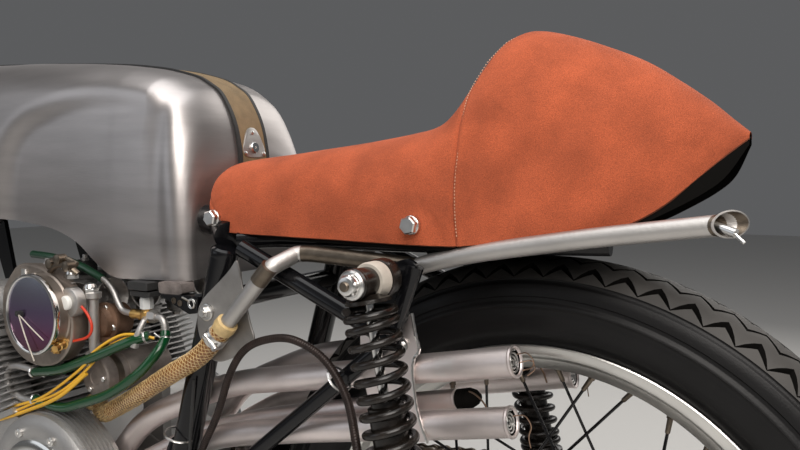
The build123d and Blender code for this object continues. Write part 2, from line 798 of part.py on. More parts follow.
# Centre stand
def centre_stand():
    """A cross tube on the stand's bolt and two splayed legs with round feet."""
    bore_r = stand_bolt_r + running_fit
    pivot_y = plate_y - 1.5
    feet_y = 138.0
    leg_y = 84.0
    foot_z = foot_r - rear_z
    body = cross_bar(stand_x, -pivot_y, pivot_y, stand_z, 14)
    foot_x = stand_x + stand_lead
    pieces = []
    for side in (1, -1):
        leg = bar(at(stand_x, side * leg_y, stand_z), at(foot_x, side * feet_y, foot_z),
                  stand_leg_r)
        pieces.append(leg)
        pieces.append(bar(at(foot_x - 26, side * feet_y, foot_z),
                          at(foot_x + 22, side * feet_y, foot_z), foot_r))
    brace = 0.22
    bx = stand_x + stand_lead * brace
    bz = stand_z + (foot_z - stand_z) * brace
    by = leg_y + (feet_y - leg_y) * brace
    pieces.append(bar(at(bx, -by, bz), at(bx, by, bz), 9))
    body = body.fuse(*pieces)
    return body - cross_rod(stand_x, -160, 160, stand_z, bore_r)


keep("centre_stand", centre_stand())
stand_bolt = cross_rod(stand_x, -plate_y - 14, plate_y + 14, stand_z, stand_bolt_r)
keep("frame_bolts", pivot_bolt, stand_bolt)

# Tachometer on the top yoke, its dial towards the rider
def tachometer():
    """A round case on a short bracket."""
    foot = head_point(top_yoke_z) + steer_dir * 14.3
    dial_dir = Vector(-0.72, 0, 0.69)
    centre = foot + steer_dir * 34
    case = bar(centre - dial_dir * 18, centre + dial_dir * 20, 38, 20)
    return case + bar(foot, centre, 8)


keep("tachometer", tachometer())


# Tank fittings
strap_y = 26.0
strap_t = 2.0
strap_gap = 0.4


def strap():
    """A webbing strap along the middle of the tank, up its back and over the top."""
    rows = [(x, high - 0.01 * (high - low)) for x, low, high, *rest in tank_sections()[:-1]]
    below = [(rows[0][0] - strap_gap, rows[0][1])]
    above = [(rows[0][0] - strap_gap - strap_t, rows[0][1])]
    for x, z in rows[1:]:
        back = max(0.0, 1 - (x - tank_back_x) / 60)
        below.append((x - back * strap_gap, z + strap_gap))
        above.append((x - back * (strap_gap + strap_t), z + strap_gap + strap_t))
    return slab(below + above[::-1], -strap_y, strap_y)


keep("tank_strap", strap())
back_foot, back_top = (Vector(x, 0, high - 0.01 * (high - low))
                       for x, low, high, *rest in tank_sections()[:2])
back_run = (back_foot - back_top).normalized()
back_out = Vector(back_run.Z, 0, -back_run.X)
plate_plane = Plane(origin=at(*back_top) + back_out * (strap_gap + strap_t + 0.5),
                    x_dir=(0, 1, 0), z_dir=back_out)
plate_face = plate_plane * Polygon((-15, 0), (15, 0), (22, 30), (-22, 30), align=None)
keep("strap_plate", extrude(plate_face, 1.6))

tap_x, tap_y = 437.0, 110.0
tap = cross_bar(tap_x, tap_y - 9, tap_y + 9, 244, 9, 8)
tap += bar(at(tap_x, tap_y, 284.7), at(tap_x, tap_y, 262), 11, 6)
tap += bar(at(tap_x, tap_y, 264), at(tap_x, tap_y, 240), 7, 8)
tap += bar(at(tap_x + 14, tap_y, 244), at(tap_x - 24, tap_y, 242), 6.5, 8)
tap += bar(at(414, tap_y, 244), at(411, tap_y, 226), 5, 8)
tap += bar(at(tap_x + 6, tap_y + 4, 240), at(tap_x + 8, tap_y + 33, 236), 3, 6)
tap += bar(at(tap_x + 8, tap_y + 32, 242), at(tap_x + 12, tap_y + 32, 206), 3.5, 6)
keep("fuel_tap", tap)
tank_pad = slab([(376, 273), (412, 272), (412, 286), (376, 287)], 97, 116)
keep("tank_pad", tank_pad - Pos(0, 0, -skin) * parts["fuel_tank"][0])
bracket = slab([(412, 271.7), (372, 272.7), (352, 262), (352, 240), (364, 238)], 102, 120)
for side in (1, -1):
    top, foot = (at(x, side * post_y, z) for x, z in (post_top, post_foot))
    bracket -= bar(top, foot, post_r)
keep("tank_bracket", bracket)

# Heel plates on the seat posts
leaf = [(278, 320), (300, 310), (334, 278), (347, 256), (349, 234), (336, 212), (318, 207),
        (303, 226), (284, 250), (274, 285)]
heel = slab(leaf, post_y + post_r, post_y + post_r + 2.5)
heel += cross_bar(332, post_y + post_r, post_y + post_r + 8, 260, 9, 6)
keep("heel_plates", *both(heel))

# Breather: a metal tube from its hose, along under the seat and out past the tail
breather_r = 8.2
front_run = tube([at(300, 137, 247), at(238, 137, 312.6), at(226, 100, 329), at(100, 93, 318)],
                 breather_r)
tail_end = at(-172, 93, 371)
rear_run = tube([at(99, 93, 318), at(84, 93, 320), at(-49, 93, 345), tail_end], breather_r)
rear_run -= bar(tail_end + Vector(-4, 0, 1), at(-116, 93, 357.5), breather_r - 1.2)
keep("breather_tube", front_run, rear_run)

hose_r = 10.5
breather_hose = tube([at(300.5, 137, 246.5), at(330, 137, 215.3), at(364, 140, 184),
                      at(410, 140, 158), at(470, 126, 134), at(560, 86, 126),
                      at(580, 78, 116)], hose_r)
keep("breather_hose", breather_hose)
stub = bar(at(580.6, 77.8, 115.7), at(622.7, 60.9, 94.6), 8)
keep("crankcase", crankcase + stub)

cable_r = 4.0
keep("brake_cable", tube([at(386, 124, -20), at(372, 124, 40), at(344, 124, 112),
                          at(315, 124, 186), at(289, 124, 220), at(255, 124, 239),
                          at(220, 124, 243), at(178, 123, 224), at(146, 138, 198),
                          at(116, 168, 172), at(101, 177, 132), at(106, 166, 84),
                          at(112, 142, 44), at(112, 118, 24)], cable_r, 6))

keep("fuel_hoses",
     tube([at(411, 110, 224.4), at(411, 112, 206), at(430, 132, 178), at(466, 145, 158),
           at(534, 148, 138), at(600, 146, 132)], 5.5, 6),
     tube([at(424, 118, 222), at(456, 132, 206), at(500, 144, 184), at(556, 146, 171),
           at(600, 144, 164)], 5.5, 6),
     tube([at(600.6, 146, 131.9), at(618, 146, 131), at(630, 145, 148), at(618, 144, 163),
           at(600.8, 144, 164)], 4.0, 6),
     tube([at(452, 110, 244), at(462, 110, 245), at(480, 110, 272),
                        at(536, 112, 298), at(592, 108, 316), at(650, 102, 318)], 4.5, 6))

# Footrests, brake pedal and gear lever
rest_x, rest_z = 386.0, -20.0
peg = cross_bar(rest_x + 14, plate_y + plate_t, plate_y + plate_t + 92, rest_z, 10)
keep("footrests", *both(peg))
lever_y = plate_y + plate_t + 14
foot_lever = tube([at(rest_x + 14, lever_y, rest_z - 34), at(rest_x + 54, lever_y + 24, rest_z - 36),
                   at(rest_x + 84, 182, rest_z - 32), at(rest_x + 154, 184, rest_z - 22)], 5, 6)
foot_lever += cross_bar(rest_x + 20, plate_y + plate_t, lever_y + 8, rest_z - 34, 9)
foot_lever += cross_bar(rest_x + 150, 174, 206, rest_z - 22, 8)
keep("foot_levers", *both(foot_lever))

os.makedirs("parts", exist_ok=True)
for name, solids in parts.items():
    flat = [s for solid in solids for s in solid.solids()]
    export_step(Compound(children=flat) if len(flat) > 1 else flat[0], f"parts/{name}.step")
    box = Compound(flat).bounding_box()
    print(name, len(flat), [round(v) for v in (*box.min, *box.max)])
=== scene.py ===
"""Looks of a cafe racer motorcycle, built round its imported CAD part.

Lengths in the tables are millimetres. Places are measured from the rear wheel's centre:
ahead, to the rider's left and up. Everything is put in the row frame, in metres, by at().
"""

from math import cos, pi, radians, sin, sqrt, tan

import bpy
import numpy as np
from mathutils import Matrix, Vector


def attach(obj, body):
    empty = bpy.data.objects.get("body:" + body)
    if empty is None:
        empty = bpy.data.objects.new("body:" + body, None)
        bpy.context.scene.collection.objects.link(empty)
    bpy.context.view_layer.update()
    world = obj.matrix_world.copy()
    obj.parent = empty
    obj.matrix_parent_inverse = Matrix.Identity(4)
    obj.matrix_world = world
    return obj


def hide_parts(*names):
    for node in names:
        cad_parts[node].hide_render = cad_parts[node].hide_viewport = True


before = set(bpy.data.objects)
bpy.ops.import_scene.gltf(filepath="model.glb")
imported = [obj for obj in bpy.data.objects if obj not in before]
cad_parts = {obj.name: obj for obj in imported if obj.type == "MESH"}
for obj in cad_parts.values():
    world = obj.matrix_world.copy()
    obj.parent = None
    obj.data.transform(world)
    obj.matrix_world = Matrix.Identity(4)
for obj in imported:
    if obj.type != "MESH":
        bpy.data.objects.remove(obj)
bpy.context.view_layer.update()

REAR_X, REAR_Z = -683.0, 336.0
FRONT_X, FRONT_Z = 697.0, 310.0
WHEELBASE = FRONT_X - REAR_X
LEFT, RIGHT, UP = (0, 1, 0), (0, -1, 0), (0, 0, 1)
POST_Y, RAIL_Y, LEG_Y = 108, 110, 88  # from the middle to the seat posts, rear rails and fork legs
CYLINDER_YS = [52.0 * (i - 2.5) for i in range(6)]
BOLT_YS = range(-132, 133, 44)  # the case's ribs and the head's bolts
CRANK_X, CRANK_Z = 630, 15
LEAN = radians(22)  # of the cylinders, forward
RAKE = radians(27)


def at(x, y, z):
    """A place measured from the rear wheel's centre, in metres in the row frame."""
    return Vector((REAR_X + x, y, REAR_Z + z)) / 1000


def whole_turn(count):
    """Even angles round a whole turn."""
    return np.linspace(0, 2 * pi, count, endpoint=False)


def around(centre, radius, angle, across=0.0):
    """A row-frame point on an upright circle about a centre; all in metres."""
    return centre + Vector((radius * cos(angle), across, radius * sin(angle)))


# Shapes: each is a pair of a list of points and a list of faces
def rounded(points, share=0.42, steps=7):
    """A route with its corners rounded."""
    route = [points[0]]
    for before, here, after in zip(points, points[1:], points[2:]):
        start = here.lerp(before, share)
        end = here.lerp(after, share)
        for k in range(steps + 1):
            t = k / steps
            route.append(start.lerp(here, t).lerp(here.lerp(end, t), t))
    route.append(points[-1])
    return route


def resampled(route, step):
    """A route as points an even step apart."""
    lengths = np.array([0.0] + [(b - a).length for a, b in zip(route, route[1:])]).cumsum()
    count = max(2, int(round(lengths[-1] / step)) + 1)
    wanted = np.linspace(0, lengths[-1], count)
    flat = np.array([tuple(p) for p in route])
    return [Vector(p) for p in np.stack([np.interp(wanted, lengths, flat[:, i]) for i in range(3)], axis=1)]


def frames_along(route):
    """Two unit directions across the route at each of its points, without twist."""
    tangents = []
    for i in range(len(route)):
        a, b = route[max(i - 1, 0)], route[min(i + 1, len(route) - 1)]
        tangents.append((b - a).normalized())
    side = tangents[0].orthogonal().normalized()
    frames = []
    for tangent in tangents:
        side = (side - tangent * side.dot(tangent)).normalized()
        frames.append((side, tangent.cross(side)))
    return frames


def rings_mesh(rings, closed_ends=True):
    """Joins rings of equally many points."""
    count = len(rings[0])
    points = [tuple(p) for ring in rings for p in ring]
    faces = []
    for i in range(len(rings) - 1):
        a, b = i * count, (i + 1) * count
        for j in range(count):
            k = (j + 1) % count
            faces.append((a + j, a + k, b + k, b + j))
    if closed_ends:
        faces.append(tuple(range(count))[::-1])
        last = (len(rings) - 1) * count
        faces.append(tuple(range(last, last + count)))
    return points, faces


def swept(route, radius, sides=20):
    """A tube along a route of row-frame points; radius is one number or one per point, in mm."""
    radii = radius if hasattr(radius, "__len__") else [radius] * len(route)
    rings = []
    for centre, (u, v), r in zip(route, frames_along(route), radii):
        r = r / 1000
        rings.append([centre + (u * cos(t) + v * sin(t)) * r for t in whole_turn(sides)])
    return rings_mesh(rings)


def open_ended(mesh):
    """A tube without its end faces."""
    return mesh[0], [f for f in mesh[1] if len(f) == 4]


def tube(points, radius, sides=20, share=0.42):
    """A bent tube through places in mm."""
    route = rounded([at(*p) for p in points], share)
    return swept(route, radius, sides)


def axis_frame(direction):
    """A unit axis with two unit directions across it."""
    axis = Vector(direction).normalized()
    u = axis.orthogonal().normalized()
    return axis, u, axis.cross(u)


def lathe(centre, axis, profile, sides=32):
    """Turns a profile of (along, radius) in mm about an axis through a row-frame point."""
    axis, u, v = axis_frame(axis)
    rings = []
    for along, r in profile:
        r = max(r, 0.01)
        rings.append([centre + axis * (along / 1000) + (u * cos(t) + v * sin(t)) * (r / 1000)
            for t in whole_turn(sides)])
    return rings_mesh(rings)


def rod(a, b, radius, sides=20):
    """A straight round bar between two places in mm."""
    a, b = at(*a), at(*b)
    length = (b - a).length * 1000
    return lathe(a, b - a, [(0, radius), (length, radius)], sides)


def hexagon(centre, axis, width, height):
    """A bolt's head or a nut, this wide across its flats."""
    r = width / 2 / cos(radians(30))
    return lathe(centre, axis, [(0, r), (height * 0.8, r), (height, r * 0.86)], 6)


def prism(outline, y0, y1):
    """A side outline of (ahead, up) places, made thick across the machine."""
    count = len(outline)
    points = [tuple(at(x, y0, z)) for x, z in outline] + [tuple(at(x, y1, z)) for x, z in outline]
    faces = [tuple(range(count)), tuple(range(count, 2 * count))[::-1]]
    faces += [(i, i + count, (i + 1) % count + count, (i + 1) % count) for i in range(count)]
    return points, faces


def grid(points, closed=False):
    """A sheet through an array of points; a closed one joins its last row to its first."""
    n, m = points.shape[:2]
    faces = [(i * m + j, i * m + j + 1, (i + 1) % n * m + j + 1, (i + 1) % n * m + j)
        for i in range(n if closed else n - 1) for j in range(m - 1)]
    return points.reshape(-1, 3).tolist(), faces


def merged(meshes):
    """Several shapes as one."""
    points, faces = [], []
    for some_points, some_faces in meshes:
        shift = len(points)
        points.extend(some_points)
        faces.extend(tuple(i + shift for i in face) for face in some_faces)
    return points, faces


def mirrored(mesh):
    """The same shape on the machine's other side."""
    return [(p[0], -p[1], p[2]) for p in mesh[0]], [face[::-1] for face in mesh[1]]


def piece(name, shapes, body="frame", replaces=(), crease=35):
    """One object from pairs of a shape, or a list of shapes, and its material, riding on a body."""
    points, faces, slots, materials = [], [], [], []
    for mesh, material in shapes:
        if isinstance(mesh, list):
            mesh = merged(mesh)
        if material not in materials:
            materials.append(material)
        shift = len(points)
        points.extend(mesh[0])
        faces.extend(tuple(i + shift for i in face) for face in mesh[1])
        slots.extend([materials.index(material)] * len(mesh[1]))
    data = bpy.data.meshes.new(name)
    data.from_pydata([tuple(p) for p in points], [], faces)
    data.polygons.foreach_set("material_index", slots)
    data.polygons.foreach_set("use_smooth", [True] * len(faces))
    data.set_sharp_from_angle(angle=radians(crease))
    for material in materials:
        data.materials.append(material)
    obj = bpy.data.objects.new(name, data)
    bpy.context.scene.collection.objects.link(obj)
    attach(obj, body)
    if replaces:
        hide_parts(*replaces)


# Materials
def material(name, color, metallic=0.0, rough=0.5, bump=0.0, scale=300.0, vary=0.0, vary_scale=12.0,
        stretch=None, coat=0.0, fleck=0.0, fleck_scale=700.0, specular=0.5):
    """A finish whose colour and surface vary by noise."""
    made = bpy.data.materials.new(name)
    made.use_nodes = True
    nodes, links = made.node_tree.nodes, made.node_tree.links
    shader = nodes["Principled BSDF"]

    def fill(node, **numbers):
        for socket, number in numbers.items():
            node.inputs[socket.replace("_", " ")].default_value = number
        return node

    def noise(noise_scale, detail):
        texture = fill(nodes.new("ShaderNodeTexNoise"), Scale=noise_scale, Detail=detail)
        links.new(where, texture.inputs["Vector"])
        return texture.outputs["Fac"]

    def varied(share, noise_scale, detail, low):
        """Multiplies a colour by noise; its share is how far it goes either way."""
        spread = fill(nodes.new("ShaderNodeMapRange"), From_Min=low, From_Max=1 - low, To_Min=1 - share,
            To_Max=1 + share)
        times = nodes.new("ShaderNodeVectorMath")
        times.operation = "MULTIPLY"
        links.new(noise(noise_scale, detail), spread.inputs["Value"])
        links.new(spread.outputs["Result"], times.inputs[1])
        return times

    fill(shader, Base_Color=(*color, 1), Metallic=metallic, Roughness=rough, Coat_Weight=coat,
        Specular_IOR_Level=specular)
    where = nodes.new("ShaderNodeTexCoord").outputs["Object"]
    if stretch:
        mapping = fill(nodes.new("ShaderNodeMapping"), Scale=stretch)
        links.new(where, mapping.inputs["Vector"])
        where = mapping.outputs["Vector"]
    if vary:
        tint = varied(vary, vary_scale, 6, 0.3)
        tint.inputs[0].default_value = color
        if fleck:
            flecked = varied(fleck, fleck_scale, 3, 0.35)
            links.new(tint.outputs["Vector"], flecked.inputs[0])
            tint = flecked
        links.new(tint.outputs["Vector"], shader.inputs["Base Color"])
    if bump:
        relief = fill(nodes.new("ShaderNodeBump"), Strength=bump, Distance=0.001)
        links.new(noise(scale, 4), relief.inputs["Height"])
        links.new(relief.outputs["Normal"], shader.inputs["Normal"])
    return made


rubber = material("tyre rubber", (0.0075, 0.0072, 0.0075), rough=0.42, bump=0.15, scale=500, vary=0.3,
    specular=0.25)
# Painted light: the tread's crown is coloured far paler than the walls' rubber, for the side light on it.
tread_painted_light = material("tread rubber with painted light", (0.066, 0.062, 0.058), rough=0.6, bump=0.2, scale=500,
    vary=0.3, specular=0.3)
polished = material("polished aluminium", (0.83, 0.82, 0.79), 1, 0.14, 0.04, 60, 0.05)
rim_metal = material("rim aluminium", (0.74, 0.73, 0.70), 1, 0.3, 0.05, 200, 0.12, 20)
tank_metal = material("brushed tank aluminium", (0.455, 0.425, 0.415), 1, 0.42, 0.10, 90, 0.16, 5,
    (1, 1, 7))
cast = material("cast aluminium", (0.42, 0.41, 0.40), 0.85, 0.5, 0.35, 500, 0.18)
dull = material("dull aluminium", (0.55, 0.53, 0.51), 1, 0.5, 0.2, 300, 0.18)
black = material("gloss black enamel", (0.005, 0.005, 0.006), 0, 0.18, 0.05, 60, coat=0.1, specular=0.3)
worn_black = material("worn black enamel", (0.014, 0.011, 0.009), 0.1, 0.26, 0.15, 160, 0.6, 90)
exhaust_metal = material("bare exhaust steel", (0.88, 0.80, 0.78), 1, 0.48, 0.15, 220, 0.22, 9)
chrome = material("bright plating", (0.78, 0.77, 0.75), 1, 0.12, 0.04, 150, 0.06)
zinc = material("zinc plating", (0.72, 0.71, 0.69), 1, 0.28, 0.15, 300, 0.12, 60)
# Oily steel; also painted shade on the breather tube's run under the seat and inside its mouth.
oily_and_shade = material("oily steel and painted shade", (0.17, 0.14, 0.11), 1, 0.4, 0.2, 300, 0.3, 60)
suede = material("rust suede", (0.45, 0.094, 0.035), 0, 0.95, 0.8, 1500, 0.20, 26, fleck=0.22,
    fleck_scale=1300)
suede_dark = material("suede edge", (0.20, 0.050, 0.020), 0, 0.95, 0.6, 1500, 0.3, 40)
thread = material("thread", (0.62, 0.36, 0.24), 0, 0.8)
webbing = material("olive webbing", (0.225, 0.155, 0.080), 0, 0.75, 0.8, 1400, 0.2, 60)
soft_black = material("black rubber", (0.02, 0.02, 0.02), 0, 0.6, 0.2, 400)
amber = material("amber hose", (0.20, 0.075, 0.014), 0, 0.22, 0.1, 200, 0.3, 30, coat=0.5)
braid = material("hose braid", (0.60, 0.43, 0.20), 0, 0.4, vary=0.2, vary_scale=200)
green = material("green hose", (0.003, 0.050, 0.014), 0, 0.20, coat=0.4)
dark_green = material("dark green hose", (0.010, 0.040, 0.020), 0, 0.3, coat=0.3)
armour = material("cable armour", (0.026, 0.016, 0.013), 0.4, 0.42, 0.2, 500, 0.35, 80)
yellow = material("yellow lead", (0.75, 0.42, 0.03), 0, 0.35)
red = material("red lead", (0.62, 0.040, 0.012), 0, 0.32)
brass = material("brass", (0.62, 0.38, 0.13), 1, 0.3, 0.1, 300, 0.2, 60)
brown_wire = material("browned wire", (0.36, 0.24, 0.17), 1, 0.38)
white = material("white marking", (0.85, 0.84, 0.80), 0, 0.5)
# Near-black: the tachometer's dial, the seat's underside and a pipe's plug; and painted shade in the tyre's
# grooves, inside the tank, in the exhausts' open ends and in the left cover's slots.
black_and_painted_shade = material("black finish and painted shade", (0.004, 0.0035, 0.003), 0, 0.9, specular=0.12)
violet = material("violet cover face", (0.115, 0.085, 0.20), 0.9, 0.22, 0.05, 60)
rust_cast = material("brown cast body", (0.22, 0.13, 0.085), 0.6, 0.5, 0.4, 300, 0.4, 40)
worn_pad = material("worn pad", (0.16, 0.135, 0.125), 0, 0.8, 0.6, 500, 0.45, 60)
pale_rubber = material("pale bush", (0.56, 0.51, 0.44), 0, 0.5, 0.2, 200, 0.2, 60)
grey_plate = material("satin plate", (0.33, 0.315, 0.30), 0.9, 0.5, 0.15, 200, 0.25, 30)
bronze = material("aged casting", (0.30, 0.255, 0.22), 0.85, 0.42, 0.3, 300, 0.35, 30)
rough_cast = material("rough casting", (0.30, 0.26, 0.235), 0.8, 0.55, 0.5, 260, 0.4, 40)
white_nylon = material("pale nylon", (0.66, 0.67, 0.66), 0, 0.4)


def graded(finish, stops):
    """Colours a finish by height over the floor, from (height in mm, colour) stops."""
    nodes, links = finish.node_tree.nodes, finish.node_tree.links
    split = nodes.new("ShaderNodeSeparateXYZ")
    links.new(nodes.new("ShaderNodeTexCoord").outputs["Object"], split.inputs["Vector"])
    span = nodes.new("ShaderNodeMapRange")
    span.inputs["From Min"].default_value = stops[0][0] / 1000
    span.inputs["From Max"].default_value = stops[-1][0] / 1000
    links.new(split.outputs["Z"], span.inputs["Value"])
    ramp = nodes.new("ShaderNodeValToRGB")
    elements = ramp.color_ramp.elements
    while len(elements) < len(stops):
        elements.new(0.5)
    for element, (height, color) in zip(elements, stops):
        element.position = (height - stops[0][0]) / (stops[-1][0] - stops[0][0])
        element.color = (*color, 1)
    links.new(span.outputs["Result"], ramp.inputs["Fac"])
    links.new(ramp.outputs["Color"], finish.node_tree.nodes["Principled BSDF"].inputs["Base Color"])


# Painted reflection and shade: the cover's face is coloured dark at the bottom and pale bluish at the top,
# for the light it reflects.
graded(violet, ((REAR_Z + 198, (0.10, 0.030, 0.045)), (REAR_Z + 222, (0.16, 0.06, 0.13)),
    (REAR_Z + 248, (0.20, 0.15, 0.26)), (REAR_Z + 288, (0.40, 0.43, 0.50))))


# Wheels
TREAD_WAVES = 68
TYRE_SEGMENTS = TREAD_WAVES * 6  # so that each zigzag's corners fall on points
SPOKES = 36


def smooth_curve(knots, count):
    """Points along a smooth curve through knots."""
    knots = np.array(knots, float)
    padded = np.vstack([2 * knots[0] - knots[1], knots, 2 * knots[-1] - knots[-2]])
    out = []
    spans = len(knots) - 1
    for s in np.linspace(0, spans - 1e-9, count):
        i = int(s)
        t = s - i
        a, b, c, d = padded[i:i + 4]
        out.append(0.5 * (2 * b + (c - a) * t + (2 * a - 5 * b + 4 * c - d) * t ** 2 + (3 * b - a - 3 * c
            + d) * t ** 3))
    return np.array(out)


def tyre(name, node, body, centre, radius, half):
    """A road tyre: zigzag grooves round its crown, bands and grooves on its walls."""
    edge = half - 7
    wall = smooth_curve([(27.5, 232), (27.8, 246), (half - 6, radius - 66), (half, radius - 46),
        (half - 0.1, radius - 40), (half - 0.9, radius - 34), (half - 2.4, radius - 27),
        (half - 4.7, radius - 21.4), (edge, radius - 17)], 46)
    crown = smooth_curve([(edge, radius - 17), (half * 0.62, radius - 7.0), (half * 0.32, radius - 1.7),
        (0, radius)], 60)
    middles, wide, deep, swing = (half * 0.70, half * 0.25), 1.4, 5.0, half * 0.15
    columns = [m + side * step for m in middles for side in (1, -1) for step in (wide, wide + 0.6)]
    fill = [c for c in np.arange(edge - 1.2, 0, -2.2) if min(abs(c - m) for m in middles) > wide + 1.2]
    columns = sorted(columns + fill + [0.0], reverse=True)
    start = [tuple(q) for q in wall]
    columns = np.array([q[0] for q in start] + columns)
    on_wall = np.arange(len(columns)) < len(start)
    wall_r = np.array([q[1] for q in start] + [0.0] * (len(columns) - len(start)))
    cut = np.zeros(len(columns))
    for m in middles:
        cut = np.maximum(cut, np.clip((wide + 0.6 - abs(columns - m)) / 0.6, 0, 1) * deep)
    follow = np.interp(columns, (0, half * 0.12, half * 0.66, edge), (0, 1, 1, 0)) * ~on_wall
    relief = np.zeros(len(columns))
    for r0, width, depth in ((radius - 19.5, 1.4, 1.5), (radius - 36, 1.8, 1.3), (radius - 41, 0.9, -0.7),
            (radius - 45, 0.9, 0.9), (radius - 60, 1.0, -0.6)):
        relief += np.clip((width + 0.9 - abs(wall_r - r0)) / 0.9, 0, 1) * depth * on_wall
    turn = whole_turn(TYRE_SEGMENTS)[:, None]
    halves = []
    for hand in (1, -1):
        phase = (turn * TREAD_WAVES / (2 * pi) + (0.5 if hand < 0 else 0)) % 1
        across = columns + swing * (4 * abs(phase - 0.5) - 1) * follow
        r = np.where(on_wall, wall_r, np.interp(across, crown[::-1, 0], crown[::-1, 1]) - cut)
        halves.append((hand * (across - relief), r))
    y = np.concatenate([halves[0][0], halves[1][0][:, -2::-1]], axis=1)
    r = np.concatenate([halves[0][1], halves[1][1][:, -2::-1]], axis=1)
    shape = np.stack([centre[0] + r * np.cos(turn), centre[1] + y, centre[2] + r * np.sin(turn)],
        axis=2) / 1000
    last = len(start)
    walls = [grid(shape[:, :last], closed=True), grid(shape[:, -last:], closed=True)]
    depth = np.concatenate([cut, cut[-2::-1]])
    grooved = (depth[:-1] + depth[1:]) > 0
    turns = [k for k in range(last, len(grooved) - last + 1) if grooved[k] != grooved[k - 1]]
    sheets = {True: [], False: []}
    for a, b in zip([last - 1] + turns, turns + [len(grooved) - last + 1]):
        sheets[bool(grooved[a])].append(grid(shape[:, a:b + 1], closed=True))
    # Painted light and shade: the crown's sheets are coloured far paler than the walls, for the light on
    # them; the grooves' sheets are near-black, for the shade in them.
    piece(name, [(walls, rubber), (sheets[False], tread_painted_light), (sheets[True], black_and_painted_shade)], body, [node],
        crease=40)


def wheel(prefix, centre, body):
    """Rim, hub, and black spokes with their nipples."""
    middle = Vector(centre) / 1000
    lip = [(27.5, 232), (27.5, 242.4), (28.3, 243), (30.2, 243), (31, 242), (31, 236), (29.5, 233),
        (27, 231.5), (20, 228), (14.5, 219), (12, 217.2)]
    profile = lip + [(-y, r) for y, r in lip[::-1]] + [lip[0]]
    rim = rings_mesh(lathe_rings(middle, profile, 180), closed_ends=False)
    nipples, spokes = [], []
    for i in range(SPOKES):
        side = 1 if i % 2 == 0 else -1
        lean = 1 if i % 4 < 2 else -1
        angle = 2 * pi * i / SPOKES
        foot = angle + lean * radians(38)
        a = around(middle, 0.093, foot, side * (28 + lean * 3) / 1000)
        b = around(middle, 0.216, angle, side * 0.004)
        spokes.append(swept([a, b], 1.5, 8))
        inward = (a - b).normalized()
        nipples.append(lathe(b, inward, [(-1, 3.4), (2.5, 3.4), (3, 2.6), (15, 2.3), (16, 1.8)], 12))
        spokes.append(lathe(a, (0, side, 0), [(3.0, 3.0), (4.2, 3.0), (4.6, 2.0)], 10))
    piece(prefix + "_rim_metal", [(rim, rim_metal), (nipples, oily_and_shade)], body, [prefix + "_rim"], crease=30)
    edge = [(34, 9), (34, 60), (33.2, 66), (34, 92), (33, 96.4), (31.5, 97), (24, 97), (22, 95.5), (18, 74),
        (15.5, 72.5)]
    for k in range(5):
        y = 12 - 6 * k
        edge += [(y + 1.6, 72), (y + 1.2, 78), (y - 1.2, 78), (y - 1.6, 72)]
    hub = edge + [(-y, r) for y, r in edge[9::-1]]
    drum = rings_mesh(lathe_rings(middle, hub, 96), closed_ends=False)
    piece(prefix + "_hub_metal", [(drum, cast), (spokes, black)], body, [prefix + "_hub"], crease=30)


def lathe_rings(centre, profile, sides):
    """Rings about a wheel's axle, from (across, radius)."""
    return [[around(centre, r / 1000, t, y / 1000) for t in whole_turn(sides)] for y, r in profile]


tyre("rear_tyre_tread", "rear_tyre", "rear_wheel", (REAR_X, 0, REAR_Z), 324, 44.5)
tyre("front_tyre_tread", "front_tyre", "front_wheel", (FRONT_X, 0, FRONT_Z), 310, 39)
wheel("rear", (REAR_X, 0, REAR_Z), "rear_wheel")
wheel("front", (FRONT_X, 0, FRONT_Z), "front_wheel")


# Seat and tank: smooth skins through upright cross-sections
def skin(table, power, count_u, count_v, waist=0.0):
    """A body through sections (ahead, bottom, top, half width); power squares its shoulders."""
    rows = []
    for x, low, high, half in smooth_curve(table, count_u):
        n = power(x)
        row = []
        for t in np.linspace(0, pi, count_v):
            c, u = cos(t), sin(t)
            across = half * np.sign(c) * abs(c) ** (2 / n)
            up = u ** (2 / n)
            across *= 1 - waist * (1 - up) ** 2
            row.append((x, across, low + (high - low) * up))
        rows.append(row)
    return np.array(rows)


def place(points):
    """An array of places in mm, put in the row frame in metres."""
    return (points + np.array((REAR_X, 0, REAR_Z))) / 1000


def ripple(points, scale, height, seed=0.0):
    """A soft unevenness, along Y, for a hand-made skin."""
    x, y, z = points[..., 0] * scale, points[..., 1] * scale, points[..., 2] * scale
    wave = (np.sin(x + 1.7 * np.sin(z * 0.9 + seed)) + np.sin(z * 1.3 + 1.3 * np.sin(x * 0.7)) + np.sin((x
        + z) * 2.1 + y)) / 3
    return wave * height


seat_table = (  # ahead, bottom, top, half width
    (347.5, 343, 398, 105), (345, 342, 408, 107), (338, 342, 415, 109), (322, 342, 419.5, 110),
    (249, 341, 427, 111), (172, 340, 436, 111), (120, 339, 444, 111), (98, 339, 450, 111),
    (84, 339, 459, 110.5), (72, 339, 474, 109.5), (60, 339, 496, 107.5), (47, 340, 517, 104.5),
    (34, 341, 529, 102), (16, 341, 534, 99.5), (-8, 342, 530, 96), (-42, 346, 518, 91),
    (-80, 359, 501, 82), (-108, 373, 483, 71), (-135, 389, 463, 55), (-152, 404, 448, 38),
    (-166, 430, 436, 10),
)


suede_table = seat_table[:-4] + (
    (-108, 375, 483, 70.5), (-135, 400, 463, 54), (-152, 417, 448, 37), (-166, 431, 436, 10))


def seat_power(x):
    """How square the seat's shoulders are at this place."""
    return float(np.interp(x, (-166, -60, 60, 120, 336), (2.3, 2.45, 2.6, 3.6, 4.2)))


SEAM = ((58, 339), (59.5, 366), (60, 391), (58.5, 420), (58, 450), (57.8, 474), (56, 484), (48, 501),
    (40, 516), (26, 528), (14, 536))


